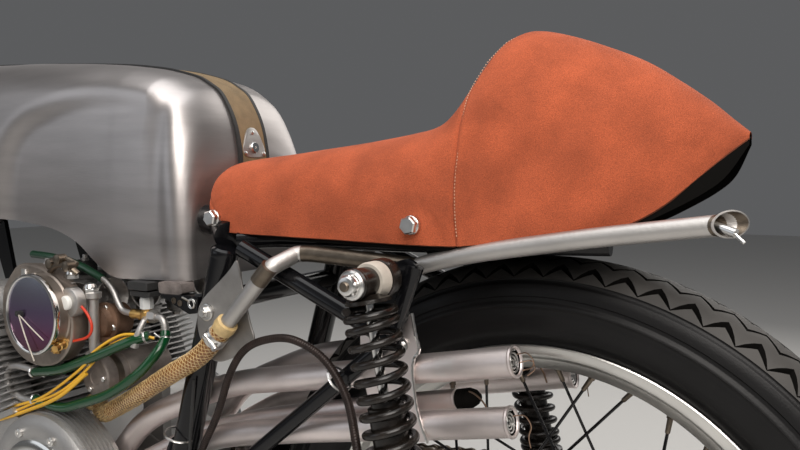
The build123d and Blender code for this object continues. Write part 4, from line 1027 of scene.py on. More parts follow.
def build_cover():
    """The round cover on the left, and the air fittings round it."""
    centre = at(566, 0, 243)
    face = lathe(centre, LEFT, [(168.0, 43), (168.9, 34), (169.6, 22), (170.0, 10), (170.1, 0)], 96)
    rim = lathe(centre, LEFT, [(163, 45.5), (163.4, 46.6), (167, 47), (169, 46.6), (170, 45.4), (170, 44.2),
        (169.2, 43.2), (168, 42.8)], 96)
    wall = lathe(centre, LEFT, [(146, 44), (147, 46.4), (150, 46.8), (152, 45.4), (160, 45), (163, 45.6),
        (163, 40)], 96)
    latch = [prism(smooth_outline([(577, 239), (589, 240), (589, 246), (577, 247)], 4, 0.3), 168, 173),
        rod((585, 172.6, 242), (579, 172.6, 246), 2.0, 12)]
    piece("cover_disc", [(face, violet), (rim, chrome), (wall, bronze), (latch, soft_black)],
        replaces=["carburettor_cover"], crease=30)
    house = smooth_outline([(652, 262), (636, 280), (615, 300), (566, 296), (533, 276), (514, 240),
        (520, 206), (545, 182), (585, 174), (625, 184), (652, 214)], 8, 0.45)
    rings, middle_x, middle_z = [], 570, 243
    for y, scale in ((126, 0.9), (128, 0.96), (146, 1.0), (149, 0.985), (150.5, 0.95)):
        rings.append([at(middle_x + (x - middle_x) * scale, y, middle_z + (z - middle_z) * scale)
            for x, z in house])
    bracket = rings_mesh(rings)
    cap_at = at(522, 0, 258)
    flange = lathe(cap_at, LEFT, [(140, 17), (149, 17), (151, 16.2), (152, 13), (152, 8)], 36)
    white_cap = lathe(cap_at, LEFT, [(150, 8.2), (155, 8.2), (156.6, 7), (157, 4), (157, 0)], 28)
    column = lathe(at(506, 130, 196), UP, [(0, 10), (3, 10), (4, 6.2), (64, 6.2), (66, 9.5), (72, 9.5),
        (73, 7)], 28)
    acorns = []
    for x, y, z, r in ((509, 131, 268, 7.5), (529, 140, 284, 6.5)):
        acorns.append(hexagon(at(x, y, z), UP, r * 2, 5))
        acorns.append(lathe(at(x, y, z + 5), UP, [(0, r), (2, r * 0.96), (5, r * 0.7), (7, 0)], 20))
    lever = []
    for points in ([(560, 146, 290), (545, 148, 300), (528, 146, 300), (518, 140, 290)],
            [(566, 140, 302), (540, 142, 308), (522, 138, 300)]):
        lever.append(tube(points, 3.6, 10))
    for x, z in ((556, 300), (541, 306), (526, 299)):
        lever.append(lathe(at(x, 140, z), LEFT, [(0, 6), (11, 6), (12, 4), (12, 0)], 20))
    pins = [rod((600, 150, 292), (600, 150, 238), 5.5, 20), rod((582, 151, 288), (582, 151, 240), 3.2, 14)]
    tags = []
    for x, y, z in ((548, 150.4, 276), (548, 150.4, 199)):
        tags.append(prism(smooth_outline([(x - 8, z - 3), (x + 8, z - 2), (x + 8, z + 4), (x - 8, z + 3)],
            3, 0.3), y, y + 1.4))
        tags.append(lathe(at(x, y + 1.2, z), LEFT, [(0, 3), (1.6, 3), (2.2, 2), (2.2, 0)], 14))
    barb = lathe(at(533, 148, 211), (-0.3, 0.9, -0.2), [(0, 7), (5, 7), (6, 5.4), (13, 5.4), (14, 4),
        (20, 4)], 24)
    piece("air_fittings", [(bracket, bronze), ([flange, column], dull), (white_cap, white),
        (acorns + pins, zinc), (lever, oily_and_shade), (tags + [barb], brass)], crease=28)
    body = lathe(at(511, 0, 230), LEFT, [(86, 20), (106, 20), (108, 23), (112, 23), (114, 19), (121, 17),
        (124, 12), (125, 0)], 40)
    foot = plate(smooth_outline([(486, 208), (536, 208), (536, 214), (486, 214)], 3, 0.2), 96, 122)
    studs = [hexagon(at(511 + 18 * cos(a), 112, 230 + 18 * sin(a)), LEFT, 7, 3.6)
        for a in (0.4, 1.9, 3.4, 5.2)]
    piece("brown_fitting", [([body, foot], rust_cast), (studs, zinc)], crease=30)


def smooth_tube(points, radius, sides):
    """A wire or hose that runs through its places in a smooth curve."""
    knots = np.array([tuple(at(*q)) for q in points]) * 1000
    return swept([Vector(q) / 1000 for q in smooth_curve(knots, 14 * len(points))], radius, sides)


def build_leads():
    """Electric leads, and the pale marks on the cover."""
    for name, radius, finish, points in (
        ("lead_a", 1.7, yellow, [(664, 150, 111), (622, 150, 124), (582, 150, 138), (543, 150, 159),
            (505, 146, 186), (490, 142, 204), (462, 132, 222), (440, 126, 225), (422, 116, 221)]),
        ("lead_b", 1.7, yellow, [(661, 152, 102), (602, 150, 127), (544, 150, 151), (508, 143, 178),
            (478, 134, 208), (440, 124, 226)]),
        ("lead_red", 1.6, red, [(549, 147, 281), (530, 147, 268), (512, 146, 258), (497, 145, 246),
            (490, 145, 232), (497, 146, 220), (524, 147, 212)]),
        ("wire_long", 0.8, pale_rubber, [(583, 172.6, 243), (570, 173.4, 218), (556, 172.8, 191)]),
        ("wire_short", 0.7, pale_rubber, [(583, 172.6, 243), (562, 173.2, 231), (538, 172.6, 217)]),
        ("lead_c", 2.4, yellow, [(690, 150, 92), (661, 152, 100), (602, 151, 121), (544, 151, 146),
            (506, 142, 176)]),
        ("lead_thin", 1.0, white, [(690, 151, 97), (661, 153, 106), (625, 153, 116)]),
    ):
        piece(name, [(smooth_tube(points, radius, 12), finish)])


def build_fuel_hoses():
    lower = [(600, 146, 133), (550, 146, 131), (516, 144, 140), (466, 142, 159), (421, 138, 188),
        (406, 126, 210), (408, 114, 221), (411, 110, 228)]
    upper = [(596, 146, 167), (548, 146, 176), (514, 144, 188), (475, 140, 204), (443, 132, 218),
        (426, 120, 224)]
    bend = [(590, 146, 169), (628, 146, 170), (648, 146, 164), (652, 146, 151), (646, 146, 138),
        (622, 146, 131), (590, 146, 132)]
    vent = [(656, 103, 302), (620, 105, 301), (586, 105, 298), (556, 106, 292), (538, 107, 287),
        (516, 108, 280)]
    pipe = [(520, 108, 282), (508, 108, 276), (497, 109, 267), (489, 110, 256), (480, 110, 246),
        (464, 110, 244)]
    clamps = []
    for a, b in (((598, 146, 167), (592, 146, 168)), ((598, 146, 133), (592, 146, 133)),
            ((409, 112, 222), (411, 110, 228)), ((430, 123, 223), (426, 120, 224))):
        start, end = at(*a), at(*b)
        clamps.append(tie(start, end - start, 6.3, 0.8))
    piece("hose_runs", [([smooth_tube(lower, 5.6, 20), smooth_tube(upper, 5.6, 20)], green),
        (smooth_tube(vent, 4.8, 20), dark_green), ([smooth_tube(bend, 4.0, 20), smooth_tube(pipe, 3.6, 20)],
        dull), (clamps, zinc)], replaces=["fuel_hoses"], crease=50)


def build_tap():
    """The fuel tap under the tank: plate, nylon nut, brass body, elbow and lever."""
    x, y = 440.0, 110.0
    flange = []
    for z0, z1, w in ((267, 273, 11), (274.5, 284, 14)):
        outline = smooth_outline([(x - 17, z0), (x + 15, z0), (x + 15, z1), (x - 17, z1)], 3, 0.1)
        flange.append(plate(outline, y - w, y + w))
    nut = hexagon(at(x, y, 252), UP, 13, 13)
    body = lathe(at(x, y, 236), UP, [(0, 4), (1, 6), (5, 7.4), (12, 7.4), (14, 5.6), (17, 5.6)], 32)
    barrel = lathe(at(464, y, 244), (-1, 0, 0), [(0, 4.6), (1, 5.8), (6, 5.8), (8, 4.9), (12, 4.9),
        (14, 6.4), (30, 6.4), (31, 5)], 32)
    silver = hexagon(at(434, y, 244), (-1, 0, 0), 13, 11)
    elbow = tube([(426, y, 244), (413, y, 243), (410, y, 224)], 4.4, 20, 0.48)
    arm = swept([at(436, y + 6, 242), at(432, y + 12, 240), at(432, y + 16, 234), at(435, y + 18, 226),
        at(439, y + 20, 212)], [3.0, 3.2, 3.4, 3.8, 4.8], 20)
    piece("tap_body", [(flange, soft_black), (nut, white_nylon), ([body, barrel], brass),
        ([silver, elbow, arm], dull)], replaces=["fuel_tap"], crease=30)


def build_tank_seating():
    """The pad and the gusset under the tank's back edge."""
    pad = smooth_outline([(376, 273.4), (412, 272.4), (413, 285.5), (378, 286.6)], 5, 0.2)
    piece("pad", [(prism(pad, 98, 117), worn_pad)], replaces=["tank_pad"], crease=40)
    gusset = smooth_outline([(411, 272.6), (372, 273.4), (350, 274), (352, 256), (364, 254)], 5, 0.12)
    holes = []
    for x, z in ((385, 267), (376, 265)):
        holes.append(lathe(at(x, 0, z), LEFT, [(120.6, 3.4), (121.2, 3.4), (121.2, 2.4), (120, 2.4),
            (120, 0)], 18))
    clip = tie(at(358, 121.4, 266), LEFT, 4.6, 0.9)
    piece("gusset", [(plate(gusset, 102, 120.5), black), (holes, oily_and_shade), (clip, zinc)],
        replaces=["tank_bracket"], crease=30)


def build_heel_plates():
    """Thin plates outside the seat posts, flared at the top."""
    leaf = smooth_outline([(283, 321), (297, 307), (316, 292), (337, 275), (346, 262), (347, 244),
        (343, 230), (328, 210), (314, 209), (290, 219), (274, 227), (267, 238), (273, 252), (279, 275),
        (284, 295)], 5, 0.42)
    leaf_points, leaf_faces = plate(leaf, 123, 125.2)
    flared = []
    for x, y, z in leaf_points:
        flared.append((x, y + 7e-3 * max(0.0, ((z * 1000 - REAR_Z - 286) / 35)) ** 2, z))
    details = merged([
        lathe(at(332, 125.5, 260), LEFT, [(0, 9), (1.2, 9), (1.8, 8), (1.8, 6)], 28),
        hexagon(at(332, 127, 260), LEFT, 10.5, 4.5),
        rod((332, 122, 260), (332, 134, 260), 3.4, 14),
    ])
    piece("heel_leaves", [(pair((flared, leaf_faces)), grey_plate), (pair(details), zinc)],
        replaces=["heel_plates"], crease=28)


def build_strap():
    """The webbing over the tank, with its riveted plate and stud."""
    knots = smooth_curve(np.array([(r[0], 0, r[2]) for r in tank_table]), 220)
    route = [Vector(at(*q)) for q in knots if q[0] < 950]
    route = resampled([at(374.6, 0, 404)] + route, 0.006)
    directions = []
    for i in range(len(route)):
        a, b = route[max(i - 1, 0)], route[min(i + 1, len(route) - 1)]
        run = (b - a).normalized()
        directions.append(Vector((-run.z, 0, run.x)))
    shapes = []
    for y0, y1, low, high, finish in ((-21, 21, 0.3, 2.1, webbing), (21, 26, 0.3, 2.6, soft_black),
            (-26, -21, 0.3, 2.6, soft_black)):
        rings = []
        for centre, out in zip(route, directions):
            rings.append([centre + Vector((0, y / 1000, 0)) + out * (h / 1000)
                for y, h in ((y0, low), (y1, low), (y1, high), (y0, high))])
        shapes.append((rings_mesh(rings), finish))
    piece("strap_webbing", shapes, replaces=["tank_strap"], crease=40)
    foot, crown = at(375, 0, 408), at(379.2, 0, 440)
    up = (crown - foot).normalized()
    out = Vector((-up.z, 0, up.x))
    across = Vector(LEFT)

    def on_plate(y, h, lift):
        return foot + across * (y / 1000) + up * (h / 1000) + out * (lift / 1000)

    corners = smooth_outline([(-24, 14), (24, 14), (9, 50), (-9, 50)], 7, 0.4)
    rings = [[on_plate(y * s, 29 + (h - 29) * s, lift) for y, h in corners]
        for s, lift in ((1.0, 2.8), (1.0, 4.0), (0.95, 4.5))]
    rivets = [lathe(on_plate(y, h, 4.4), out, [(0, 2.6), (0.9, 2.4), (1.5, 1.4), (1.7, 0)], 16)
        for y, h in ((0, 44), (-16, 19), (16, 19))]
    stud = lathe(on_plate(0, 26, 4.4), out, [(0, 6.6), (1.8, 6.6), (2.6, 5.8), (2.6, 1.2), (1.6, 1.0),
        (1.6, 0)], 28)
    piece("strap_fitting", [(rings_mesh(rings), dull), (rivets, zinc), (stud, chrome)],
        replaces=["strap_plate"], crease=30)


build_carburettors()
build_cover()
build_leads()
build_fuel_hoses()
build_tap()
build_tank_seating()
build_heel_plates()
build_strap()


# Engine
def leaned_point(x, y, z):
    """A place in the cylinders' own leaning frame, from the crank's line."""
    return at(CRANK_X + x * cos(LEAN) + z * sin(LEAN), y, CRANK_Z - x * sin(LEAN) + z * cos(LEAN))


def leaned_plate(outline, z0, z1):
    """A flat shape of (ahead, across) points, thick along the cylinders."""
    edge = min(0.5, (z1 - z0) / 3)
    middle = np.mean(outline, axis=0)
    inner = [tuple(middle + (np.array(q) - middle) * 0.993) for q in outline]
    return rings_mesh([[leaned_point(x, y, z) for x, y in shape]
        for shape, z in ((inner, z0), (outline, z0 + edge), (outline, z1 - edge), (inner, z1))])


def engine_case():
    outline = smooth_outline([(572, 40), (600, 92), (636, 112), (716, 80), (752, 30), (760, -60),
        (728, -112), (600, -112), (572, -84)], 6, 0.22)
    gearbox = smooth_outline([(466, 36), (480, 64), (520, 78), (580, 60), (580, -100), (520, -100),
        (474, -60)], 5, 0.2)
    shapes = [plate(outline, -150, 150), plate(gearbox, -48, 48), plate([(489, 66), (525, 66), (525, 150),
        (489, 150)], 34, 47), plate(smooth_outline([(484, -40), (448, -43), (434, -52), (436, -64),
        (450, -72), (484, -76)], 4, 0.25), -20, 20)]
    rib = [(722, 82), (757, 32), (765, -60), (732, -116), (604, -116), (604, -108), (724, -106), (752, -58),
        (744, 28), (716, 72)]
    shapes += [plate(rib, y - 2, y + 2) for y in BOLT_YS]
    stub = rod((580.6, 77.8, 115.7), (622.7, 60.9, 94.6), 8)
    bolts = []
    for x, z in ((612, 96), (590, 70), (580, 0), (582, -60), (610, -104), (670, -104), (722, -104),
            (746, -60), (744, 0), (730, 50), (690, 84)):
        for side in (1, -1):
            bolts.append(hexagon(at(x, side * 150, z), (0, side, 0), 11, 6))
    piece("engine_cases", [(shapes + [stub], cast), (bolts, zinc)], replaces=["crankcase"], crease=28)


def engine_top():
    barrels = []
    for y in CYLINDER_YS:
        ring = [[leaned_point(30 * cos(t), y + 24.5 * sin(t), z) for t in whole_turn(32)]
            for z in (92, 186)]
        barrels.append(rings_mesh(ring))
    edge = [(43.0 + 1.6 * cos(2 * pi * (y / 52.0)), y) for y in np.linspace(-156, 156, 73)]
    edge = edge + [(38, 160), (-38, 160)] + [(-x, y) for x, y in edge[::-1]] + [(-38, -160), (38, -160)]
    edge = [(min(max(x, -44), 44), y) for x, y in edge]
    fins = [leaned_plate(edge, z, z + 2.4) for z in range(100, 183, 8)]
    base = leaned_plate([(40, -156), (40, 156), (-40, 156), (-40, -156)], 90, 98)
    piece("cylinder_fins", [(barrels + fins + [base], cast)], replaces=["cylinders"], crease=28)
    block = [leaned_plate([(46, -158), (46, 158), (40, 160), (-40, 160), (-46, 158), (-46, -158),
        (-40, -160), (40, -160)], 186, 194)]
    for k in range(4):
        block.append(leaned_plate([(46, -159), (46, 159), (-46, 159), (-46, -159)], 198 + 7 * k,
            200.6 + 7 * k))
    block.append(leaned_plate([(38, -152), (38, 152), (-38, 152), (-38, -152)], 192, 236))
    up = Vector((sin(LEAN), 0, cos(LEAN)))
    caps, bolts = [], []
    for x in (-30, 30):
        axis_at = leaned_point(x, 0, 242)
        block.append(lathe(axis_at, LEFT, [(-157, 16), (-156, 19), (156, 19), (157, 16)], 40))
        for side in (1, -1):
            out = (0, side, 0)
            caps.append(lathe(axis_at, out, [(156, 16.5), (158, 16.5), (159, 15.5), (159.4, 11),
                (158.6, 10), (158.6, 0)], 36))
            bolts += [hexagon(around(axis_at, 0.013, t, side * 0.158), out, 5, 2.6)
                for t in (0.5, 2.6, 4.7)]
        bolts += [hexagon(leaned_point(x, y, 259.5), up, 9, 3.5) for y in BOLT_YS]
    plugs = []
    for y in CYLINDER_YS:
        foot = leaned_point(0, y, 240)
        plugs.append(lathe(foot, up, [(0, 9), (4, 9), (5, 6.5), (22, 7.2), (25, 5), (26, 3.4)], 20))
    piece("head_castings", [(block, cast), (caps, polished), (bolts, zinc), (plugs, soft_black)],
        replaces=["cylinder_head"], crease=28)


def side_cases():
    ridged = [(110, 94), (112, 97)]
    for k in range(7):
        ridged += [(116 + k * 5, 97.8), (118 + k * 5, 97.8), (118.6 + k * 5, 95.6), (120.4 + k * 5, 95.6)]
    ridged += [(152, 97.6), (157, 96.6), (161, 93), (163.4, 86), (164, 76), (163.2, 74), (163.2, 70)]
    centre = at(572, 0, 24)
    body = lathe(centre, LEFT, ridged, 96)
    cover = lathe(centre, LEFT, [(163.2, 70), (166, 69), (168, 65), (169, 58), (169.4, 20), (169.4, 0)], 96)
    slots, bolts = [], []
    # Painted shade: the slots are thin near-black strips laid on the cover, for the shade in its openings.
    for k in range(9):
        x = 540 + 5.4 * k
        slots.append(prism(smooth_outline([(x, 66), (x + 3.2, 66), (x + 5.6, 78), (x + 2.4, 78)], 3, 0.3),
            169, 169.9))
    for k in range(8):
        a = 2 * pi * (k + 0.5) / 8
        bolts.append(lathe(around(centre, 0.079, a), LEFT, [(163, 5.5), (167, 5.5), (168, 4.4), (168, 2),
            (166.6, 2), (166.6, 0)], 18))
    piece("left_case_shell", [(body, cast), (cover, polished), (slots, black_and_painted_shade), (bolts, zinc)],
        replaces=["left_case"], crease=30)
    centre = at(CRANK_X, 0, CRANK_Z)
    outline = [(-150, 88), (-156, 87.6), (-160, 84), (-161, 76), (-160, 73), (-160, 60), (-162, 57),
        (-163.6, 50), (-164, 0)]
    cover = lathe(centre, LEFT, outline, 96)
    bolts = [lathe(around(centre, 0.066, a), RIGHT, [(160, 5), (163, 5), (164, 4), (164, 0)], 18)
        for a in (2 * pi * (k + 0.5) / 10 for k in range(10))]
    piece("right_case_shell", [(cover, polished), (bolts, zinc)], replaces=["right_case"], crease=30)
    centre = at(507, 0, 168)
    body = lathe(centre, LEFT, [(34, 22), (36, 24), (98, 24), (98.6, 22.8), (100.6, 22.8), (101.2, 24),
        (126, 24), (128.6, 23.4), (130, 21.6), (130, 9), (129.2, 8), (129.2, 0)], 64)
    strap = lathe(centre, LEFT, [(108, 24.1), (108, 24.9), (116, 24.9), (116, 24.1)], 64)
    bolts = [hexagon(around(centre, 0.016, a, 0.130), LEFT, 5.5, 2.6) for a in (1.0, 3.1, 5.2)]
    piece("generator_body", [(body, rough_cast), (strap, oily_and_shade), (bolts, zinc)], replaces=["generator"],
        crease=28)


engine_case()
engine_top()
side_cases()


# Brakes, axles and the drive
def build_brake(name, centre, sides, boss_y, body, node):
    """A drum's back plates with their cams and levers."""
    castings, levers, brights = [], [], []
    middle = Vector(centre) / 1000
    for side in sides:
        out = (0, side, 0)
        profile = [(40, 9), (40, 89.5), (41, 90), (44, 88), (46, 82), (46, 70), (45, 68), (45, 52),
            (46, 50), (46, 31), (48, 28), (boss_y - 8, 21), (boss_y - 1, 19.6), (boss_y, 18.6), (boss_y, 9)]
        castings.append(lathe(middle, out, profile, 72))
        cam = middle + Vector((-0.044, side * 0.045, 0.040))
        tip = middle + Vector((-0.026, side * 0.054, 0.118))
        castings.append(lathe(cam, out, [(0, 10), (6, 9), (8, 7)], 24))
        levers.append(lathe(cam, out, [(7, 9), (13, 9)], 24))
        arm_start = cam + Vector((0, side * 0.009, 0))
        levers.append(swept([arm_start, arm_start.lerp(tip, 0.5), tip], [5.0, 4.2, 3.8], 12))
        levers.append(lathe(tip, out, [(-4, 5), (4, 5)], 18))
        brights.append(hexagon(cam + Vector(out) * 0.013, out, 9, 4))
        brights.append(lathe(tip, out, [(-6, 2.4), (6.5, 2.4)], 12))
        for k in range(3):
            spot = around(middle, 0.060, 2.4 + k * 2 * pi / 3, side * 0.0452)
            brights.append(lathe(spot, out, [(0, 4), (1.4, 4), (2, 3), (2, 0)], 16))
    piece(name, [(castings, cast), (levers, dull), (brights, zinc)], body, [node], crease=28)


def build_axle(name, centre, left_in, right_in, seat_in, seat_out, body, node):
    """An axle with a spacer, washer and nut on each side."""
    middle = Vector(centre) / 1000
    end = seat_out + 12
    shaft = lathe(middle, LEFT, [(-end - 14, 0), (-end - 14, 7.4), (-end - 13, 8.4), (end + 13, 8.4),
        (end + 14, 7.4), (end + 14, 0)], 32)
    shapes = [shaft]
    for side, inner in ((1, left_in), (-1, right_in)):
        out = (0, side, 0)
        shapes.append(lathe(middle, out, [(seat_out, 8), (seat_out, 16.4), (seat_out + 1.6, 16.4),
            (seat_out + 1.6, 8)], 32))
        shapes.append(hexagon(middle + Vector(out) * ((seat_out + 1.6) / 1000), out, 25, 10.2))
        shapes.append(lathe(middle, out, [(inner, 8), (inner, 13), (inner + 0.6, 13.6),
            (seat_in - 0.6, 13.6), (seat_in, 13), (seat_in, 8)], 32))
    piece(name, [(shapes, zinc)], body, [node], crease=28)


build_brake("rear_brake_plate", (REAR_X, 0, REAR_Z), (1,), 66, "frame", "rear_brake")
build_brake("front_brake_plates", (FRONT_X, 0, FRONT_Z), (1, -1), 60, "steering", "front_brakes")
build_axle("rear_axle_parts", (REAR_X, 0, REAR_Z), 66, 35, 86, 94, "frame", "rear_axle")
build_axle("front_axle_parts", (FRONT_X, 0, FRONT_Z), 60, 60, 64.5, 111.5, "steering", "front_axle")

PITCH = 15.875
REAR_TEETH, FRONT_TEETH = 38, 15
CHAIN_Y = -62.0


def pitch_radius(teeth):
    """The radius on which the chain's pins run round a sprocket."""
    return PITCH / (2 * sin(pi / teeth))


def toothed(x, z, teeth, bore, y0, y1):
    """A sprocket's plate, with rounded teeth."""
    radius = pitch_radius(teeth)
    rings = []
    outline = []
    for i in range(teeth * 8):
        a = 2 * pi * i / (teeth * 8)
        wave = 0.5 + 0.5 * cos(a * teeth)
        outline.append((radius - 9.6 + 4.0 * wave ** 0.7, a))
    for y, inset in ((y0, 1.4), (y0 + 1.6, 0), (y1 - 1.6, 0), (y1, 1.4)):
        rings.append([at(x + (r - inset) * cos(a), y, z + (r - inset) * sin(a)) for r, a in outline])
    shell = rings_mesh(rings, closed_ends=False)
    hole = [[at(x + bore * cos(a), y, z + bore * sin(a)) for r, a in outline] for y in (y0, y1)]
    joined = rings_mesh([hole[0], rings[0]], closed_ends=False)
    joined_out = rings_mesh([rings[-1], hole[1]], closed_ends=False)
    wall = rings_mesh([hole[1], hole[0]], closed_ends=False)
    return merged([shell, joined, joined_out, wall])


def build_drive():
    rear = toothed(0, 0, REAR_TEETH, 50, CHAIN_Y - 3, CHAIN_Y + 3)
    axle_at = at(0, 0, 0)
    carrier = lathe(axle_at, LEFT, [(-59.5, 20.5), (-59.5, 49), (-58, 50), (-34.4, 50), (-34, 49),
        (-34, 20.5)], 64)
    bolts = []
    for k in range(6):
        bolts.append(hexagon(around(axle_at, 0.062, 2 * pi * k / 6, -0.065), RIGHT, 10, 4.5))
    piece("rear_sprocket_metal", [(rear, oily_and_shade), (carrier, cast), (bolts, zinc)], "rear_wheel",
        ["rear_sprocket"], crease=28)
    front = toothed(500, 12, FRONT_TEETH, 9, CHAIN_Y - 3, CHAIN_Y + 3)
    nut = hexagon(at(500, CHAIN_Y - 3, 12), RIGHT, 22, 7)
    shaft = rod((500, -48, 12), (500, CHAIN_Y - 8, 12), 8.9)
    piece("front_sprocket_metal", [(front, oily_and_shade), ([nut, shaft], zinc)], replaces=["front_sprocket"],
        crease=28)
    # the chain's loop: round one sprocket, along a straight run, round the other, and back
    r1, r2 = pitch_radius(REAR_TEETH), pitch_radius(FRONT_TEETH)
    run = np.array((500.0, 12.0))
    distance = np.hypot(*run)
    tilt = np.arctan2(run[1], run[0])
    lean = np.arccos((r1 - r2) / distance)
    loop = [(r1 * cos(tilt + a), r1 * sin(tilt + a)) for a in np.linspace(lean, 2 * pi - lean, 200)]
    loop += [(run[0] + r2 * cos(tilt + a), run[1] + r2 * sin(tilt + a))
        for a in np.linspace(-lean, lean, 80)]
    loop.append(loop[0])
    loop = np.array(loop)
    lengths = np.concatenate([[0], np.hypot(*np.diff(loop, axis=0).T).cumsum()])
    links = int(round(lengths[-1] / PITCH / 2)) * 2
    spots = np.linspace(0, lengths[-1], links, endpoint=False)
    pins = np.stack([np.interp(spots, lengths, loop[:, i]) for i in (0, 1)], axis=1)
    plates_made, rollers = [], []
    for i in range(links):
        a, b = pins[i], pins[(i + 1) % links]
        direction = (b - a) / np.hypot(*(b - a))
        normal = np.array((-direction[1], direction[0]))
        outline = []
        for centre, sign in ((b, 1), (a, -1)):
            for t in np.linspace(-pi / 2, pi / 2, 7):
                outline.append(centre + sign * (direction * cos(t) + normal * sin(t)) * 6.8)
            outline.append((a + b) / 2 + sign * normal * 5.0)
        outer = i % 2 == 0
        for side in (1, -1):
            y = CHAIN_Y + side * (6.6 if outer else 4.4)
            plates_made.append(prism([tuple(q) for q in outline], y - 0.9, y + 0.9))
        rollers.append(lathe(at(a[0], CHAIN_Y, a[1]), LEFT, [(-3.4, 4.8), (3.4, 4.8)], 12))
        rollers.append(lathe(at(a[0], CHAIN_Y, a[1]), LEFT, [(-8.4, 2.2), (8.4, 2.2)], 8))
    piece("chain_links", [(plates_made, oily_and_shade), (rollers, dull)], replaces=["drive_chain"], crease=28)


build_drive()


# Fork and controls
def leg_at(z, y):
    """A point on a fork leg's axis at this height over the floor, in mm from the rear axle."""
    return (WHEELBASE - (z - FRONT_Z) * tan(RAKE), y, z - REAR_Z)


STEER_DIR = (at(*head_point(872)) - at(*head_point(762))).normalized()


def build_fork():
    stanchions, sliders, details = [], [], []
    for side in (1, -1):
        y = side * LEG_Y
        stanchions.append(rod(leg_at(545, y), leg_at(940, y), 17.3, 36))
        details.append(lathe(at(*leg_at(938, y)), STEER_DIR, [(-2, 17.6), (2, 17.6), (3, 16), (3, 9),
            (5, 8.6), (6, 7), (6, 0)], 32))
        low, top = at(*leg_at(298, y)), at(*leg_at(560, y))
        length = (top - low).length * 1000
        sliders.append(lathe(low, STEER_DIR, [(-6, 10), (-5, 16), (-1, 20), (8, 21.5), (40, 21.5),
            (60, 20.6), (length - 40, 20.6), (length - 34, 22.8), (length - 4, 22.8), (length - 1, 21.6),
            (length, 18)], 48))
        sliders.append(lathe(at(WHEELBASE, 0, FRONT_Z - REAR_Z), LEFT, [(y - 23.5, 18), (y - 22.5, 20),
            (y + 22.5, 20), (y + 23.5, 18)], 40))
        details.append(lathe(top, STEER_DIR, [(0, 17.6), (0, 21), (2, 22), (7, 21), (9, 18.6), (10, 17.6)],
            36))
        drain = at(WHEELBASE - 22, y, FRONT_Z - REAR_Z + 30)
        details.append(hexagon(drain, (-1, 0, 0.2), 8, 4))
    piece("stanchion_tubes", [(stanchions, chrome)], "steering", ["fork_stanchions"], crease=28)
    piece("slider_castings", [(sliders, dull), (details, zinc)], "steering", ["fork_sliders"], crease=28)
    shapes, bolts = [], []
    plane_x = Vector(LEFT)
    plane_y = STEER_DIR.cross(plane_x)
    for z, thick in ((728, 24), (896, 14)):
        origin = at(*head_point(z))
        half = []
        for t in np.linspace(-pi * 0.62, pi * 0.5, 16):
            half.append((LEG_Y + 26.5 * cos(t), -58 + 26.5 * sin(t)))
        half += [(60, -30), (34, 4), (20, 20), (8, 26)]
        outline = half + [(-a, b) for a, b in half[::-1]]
        rings = []
        for h, inset in ((0, 0.985), (1.2, 1), (thick - 1.2, 1), (thick, 0.985)):
            rings.append([origin + plane_x * (a * inset / 1000) + plane_y * ((b + 20) * inset - 20) / 1000
                + STEER_DIR * (h / 1000) for a, b in outline])
        shapes.append(rings_mesh(rings))
        for side in (1, -1):
            spot = origin + plane_x * (side * LEG_Y / 1000) - plane_y * 0.0845
            spot += STEER_DIR * (thick / 2000)
            bolts.append(lathe(spot - plane_x * 0.014, plane_x, [(0, 5), (28, 5)], 20))
            bolts.append(hexagon(spot + plane_x * 0.013, plane_x, 9, 5))
    top = at(*head_point(896 + 12))
    bolts.append(lathe(at(*head_point(896)), STEER_DIR, [(14, 15), (16, 15), (17, 13.6)], 32))
    bolts.append(hexagon(top + STEER_DIR * 0.003, STEER_DIR, 24, 9))
    shapes.append(rod(head_point(742), head_point(905), 14.6, 32))
    piece("yoke_plates", [(shapes, dull), (bolts, zinc)], "steering", ["yokes"], crease=28)


def ribbed(start, end, pitch, flat, gap, high, low):
    """The profile of a grip's ribs, every pitch from start to end."""
    ribs = []
    while start < end:
        ribs += [(start, high), (start + flat, high), (start + flat + 0.6, low), (start + pitch - gap, low)]
        start += pitch
    return ribs


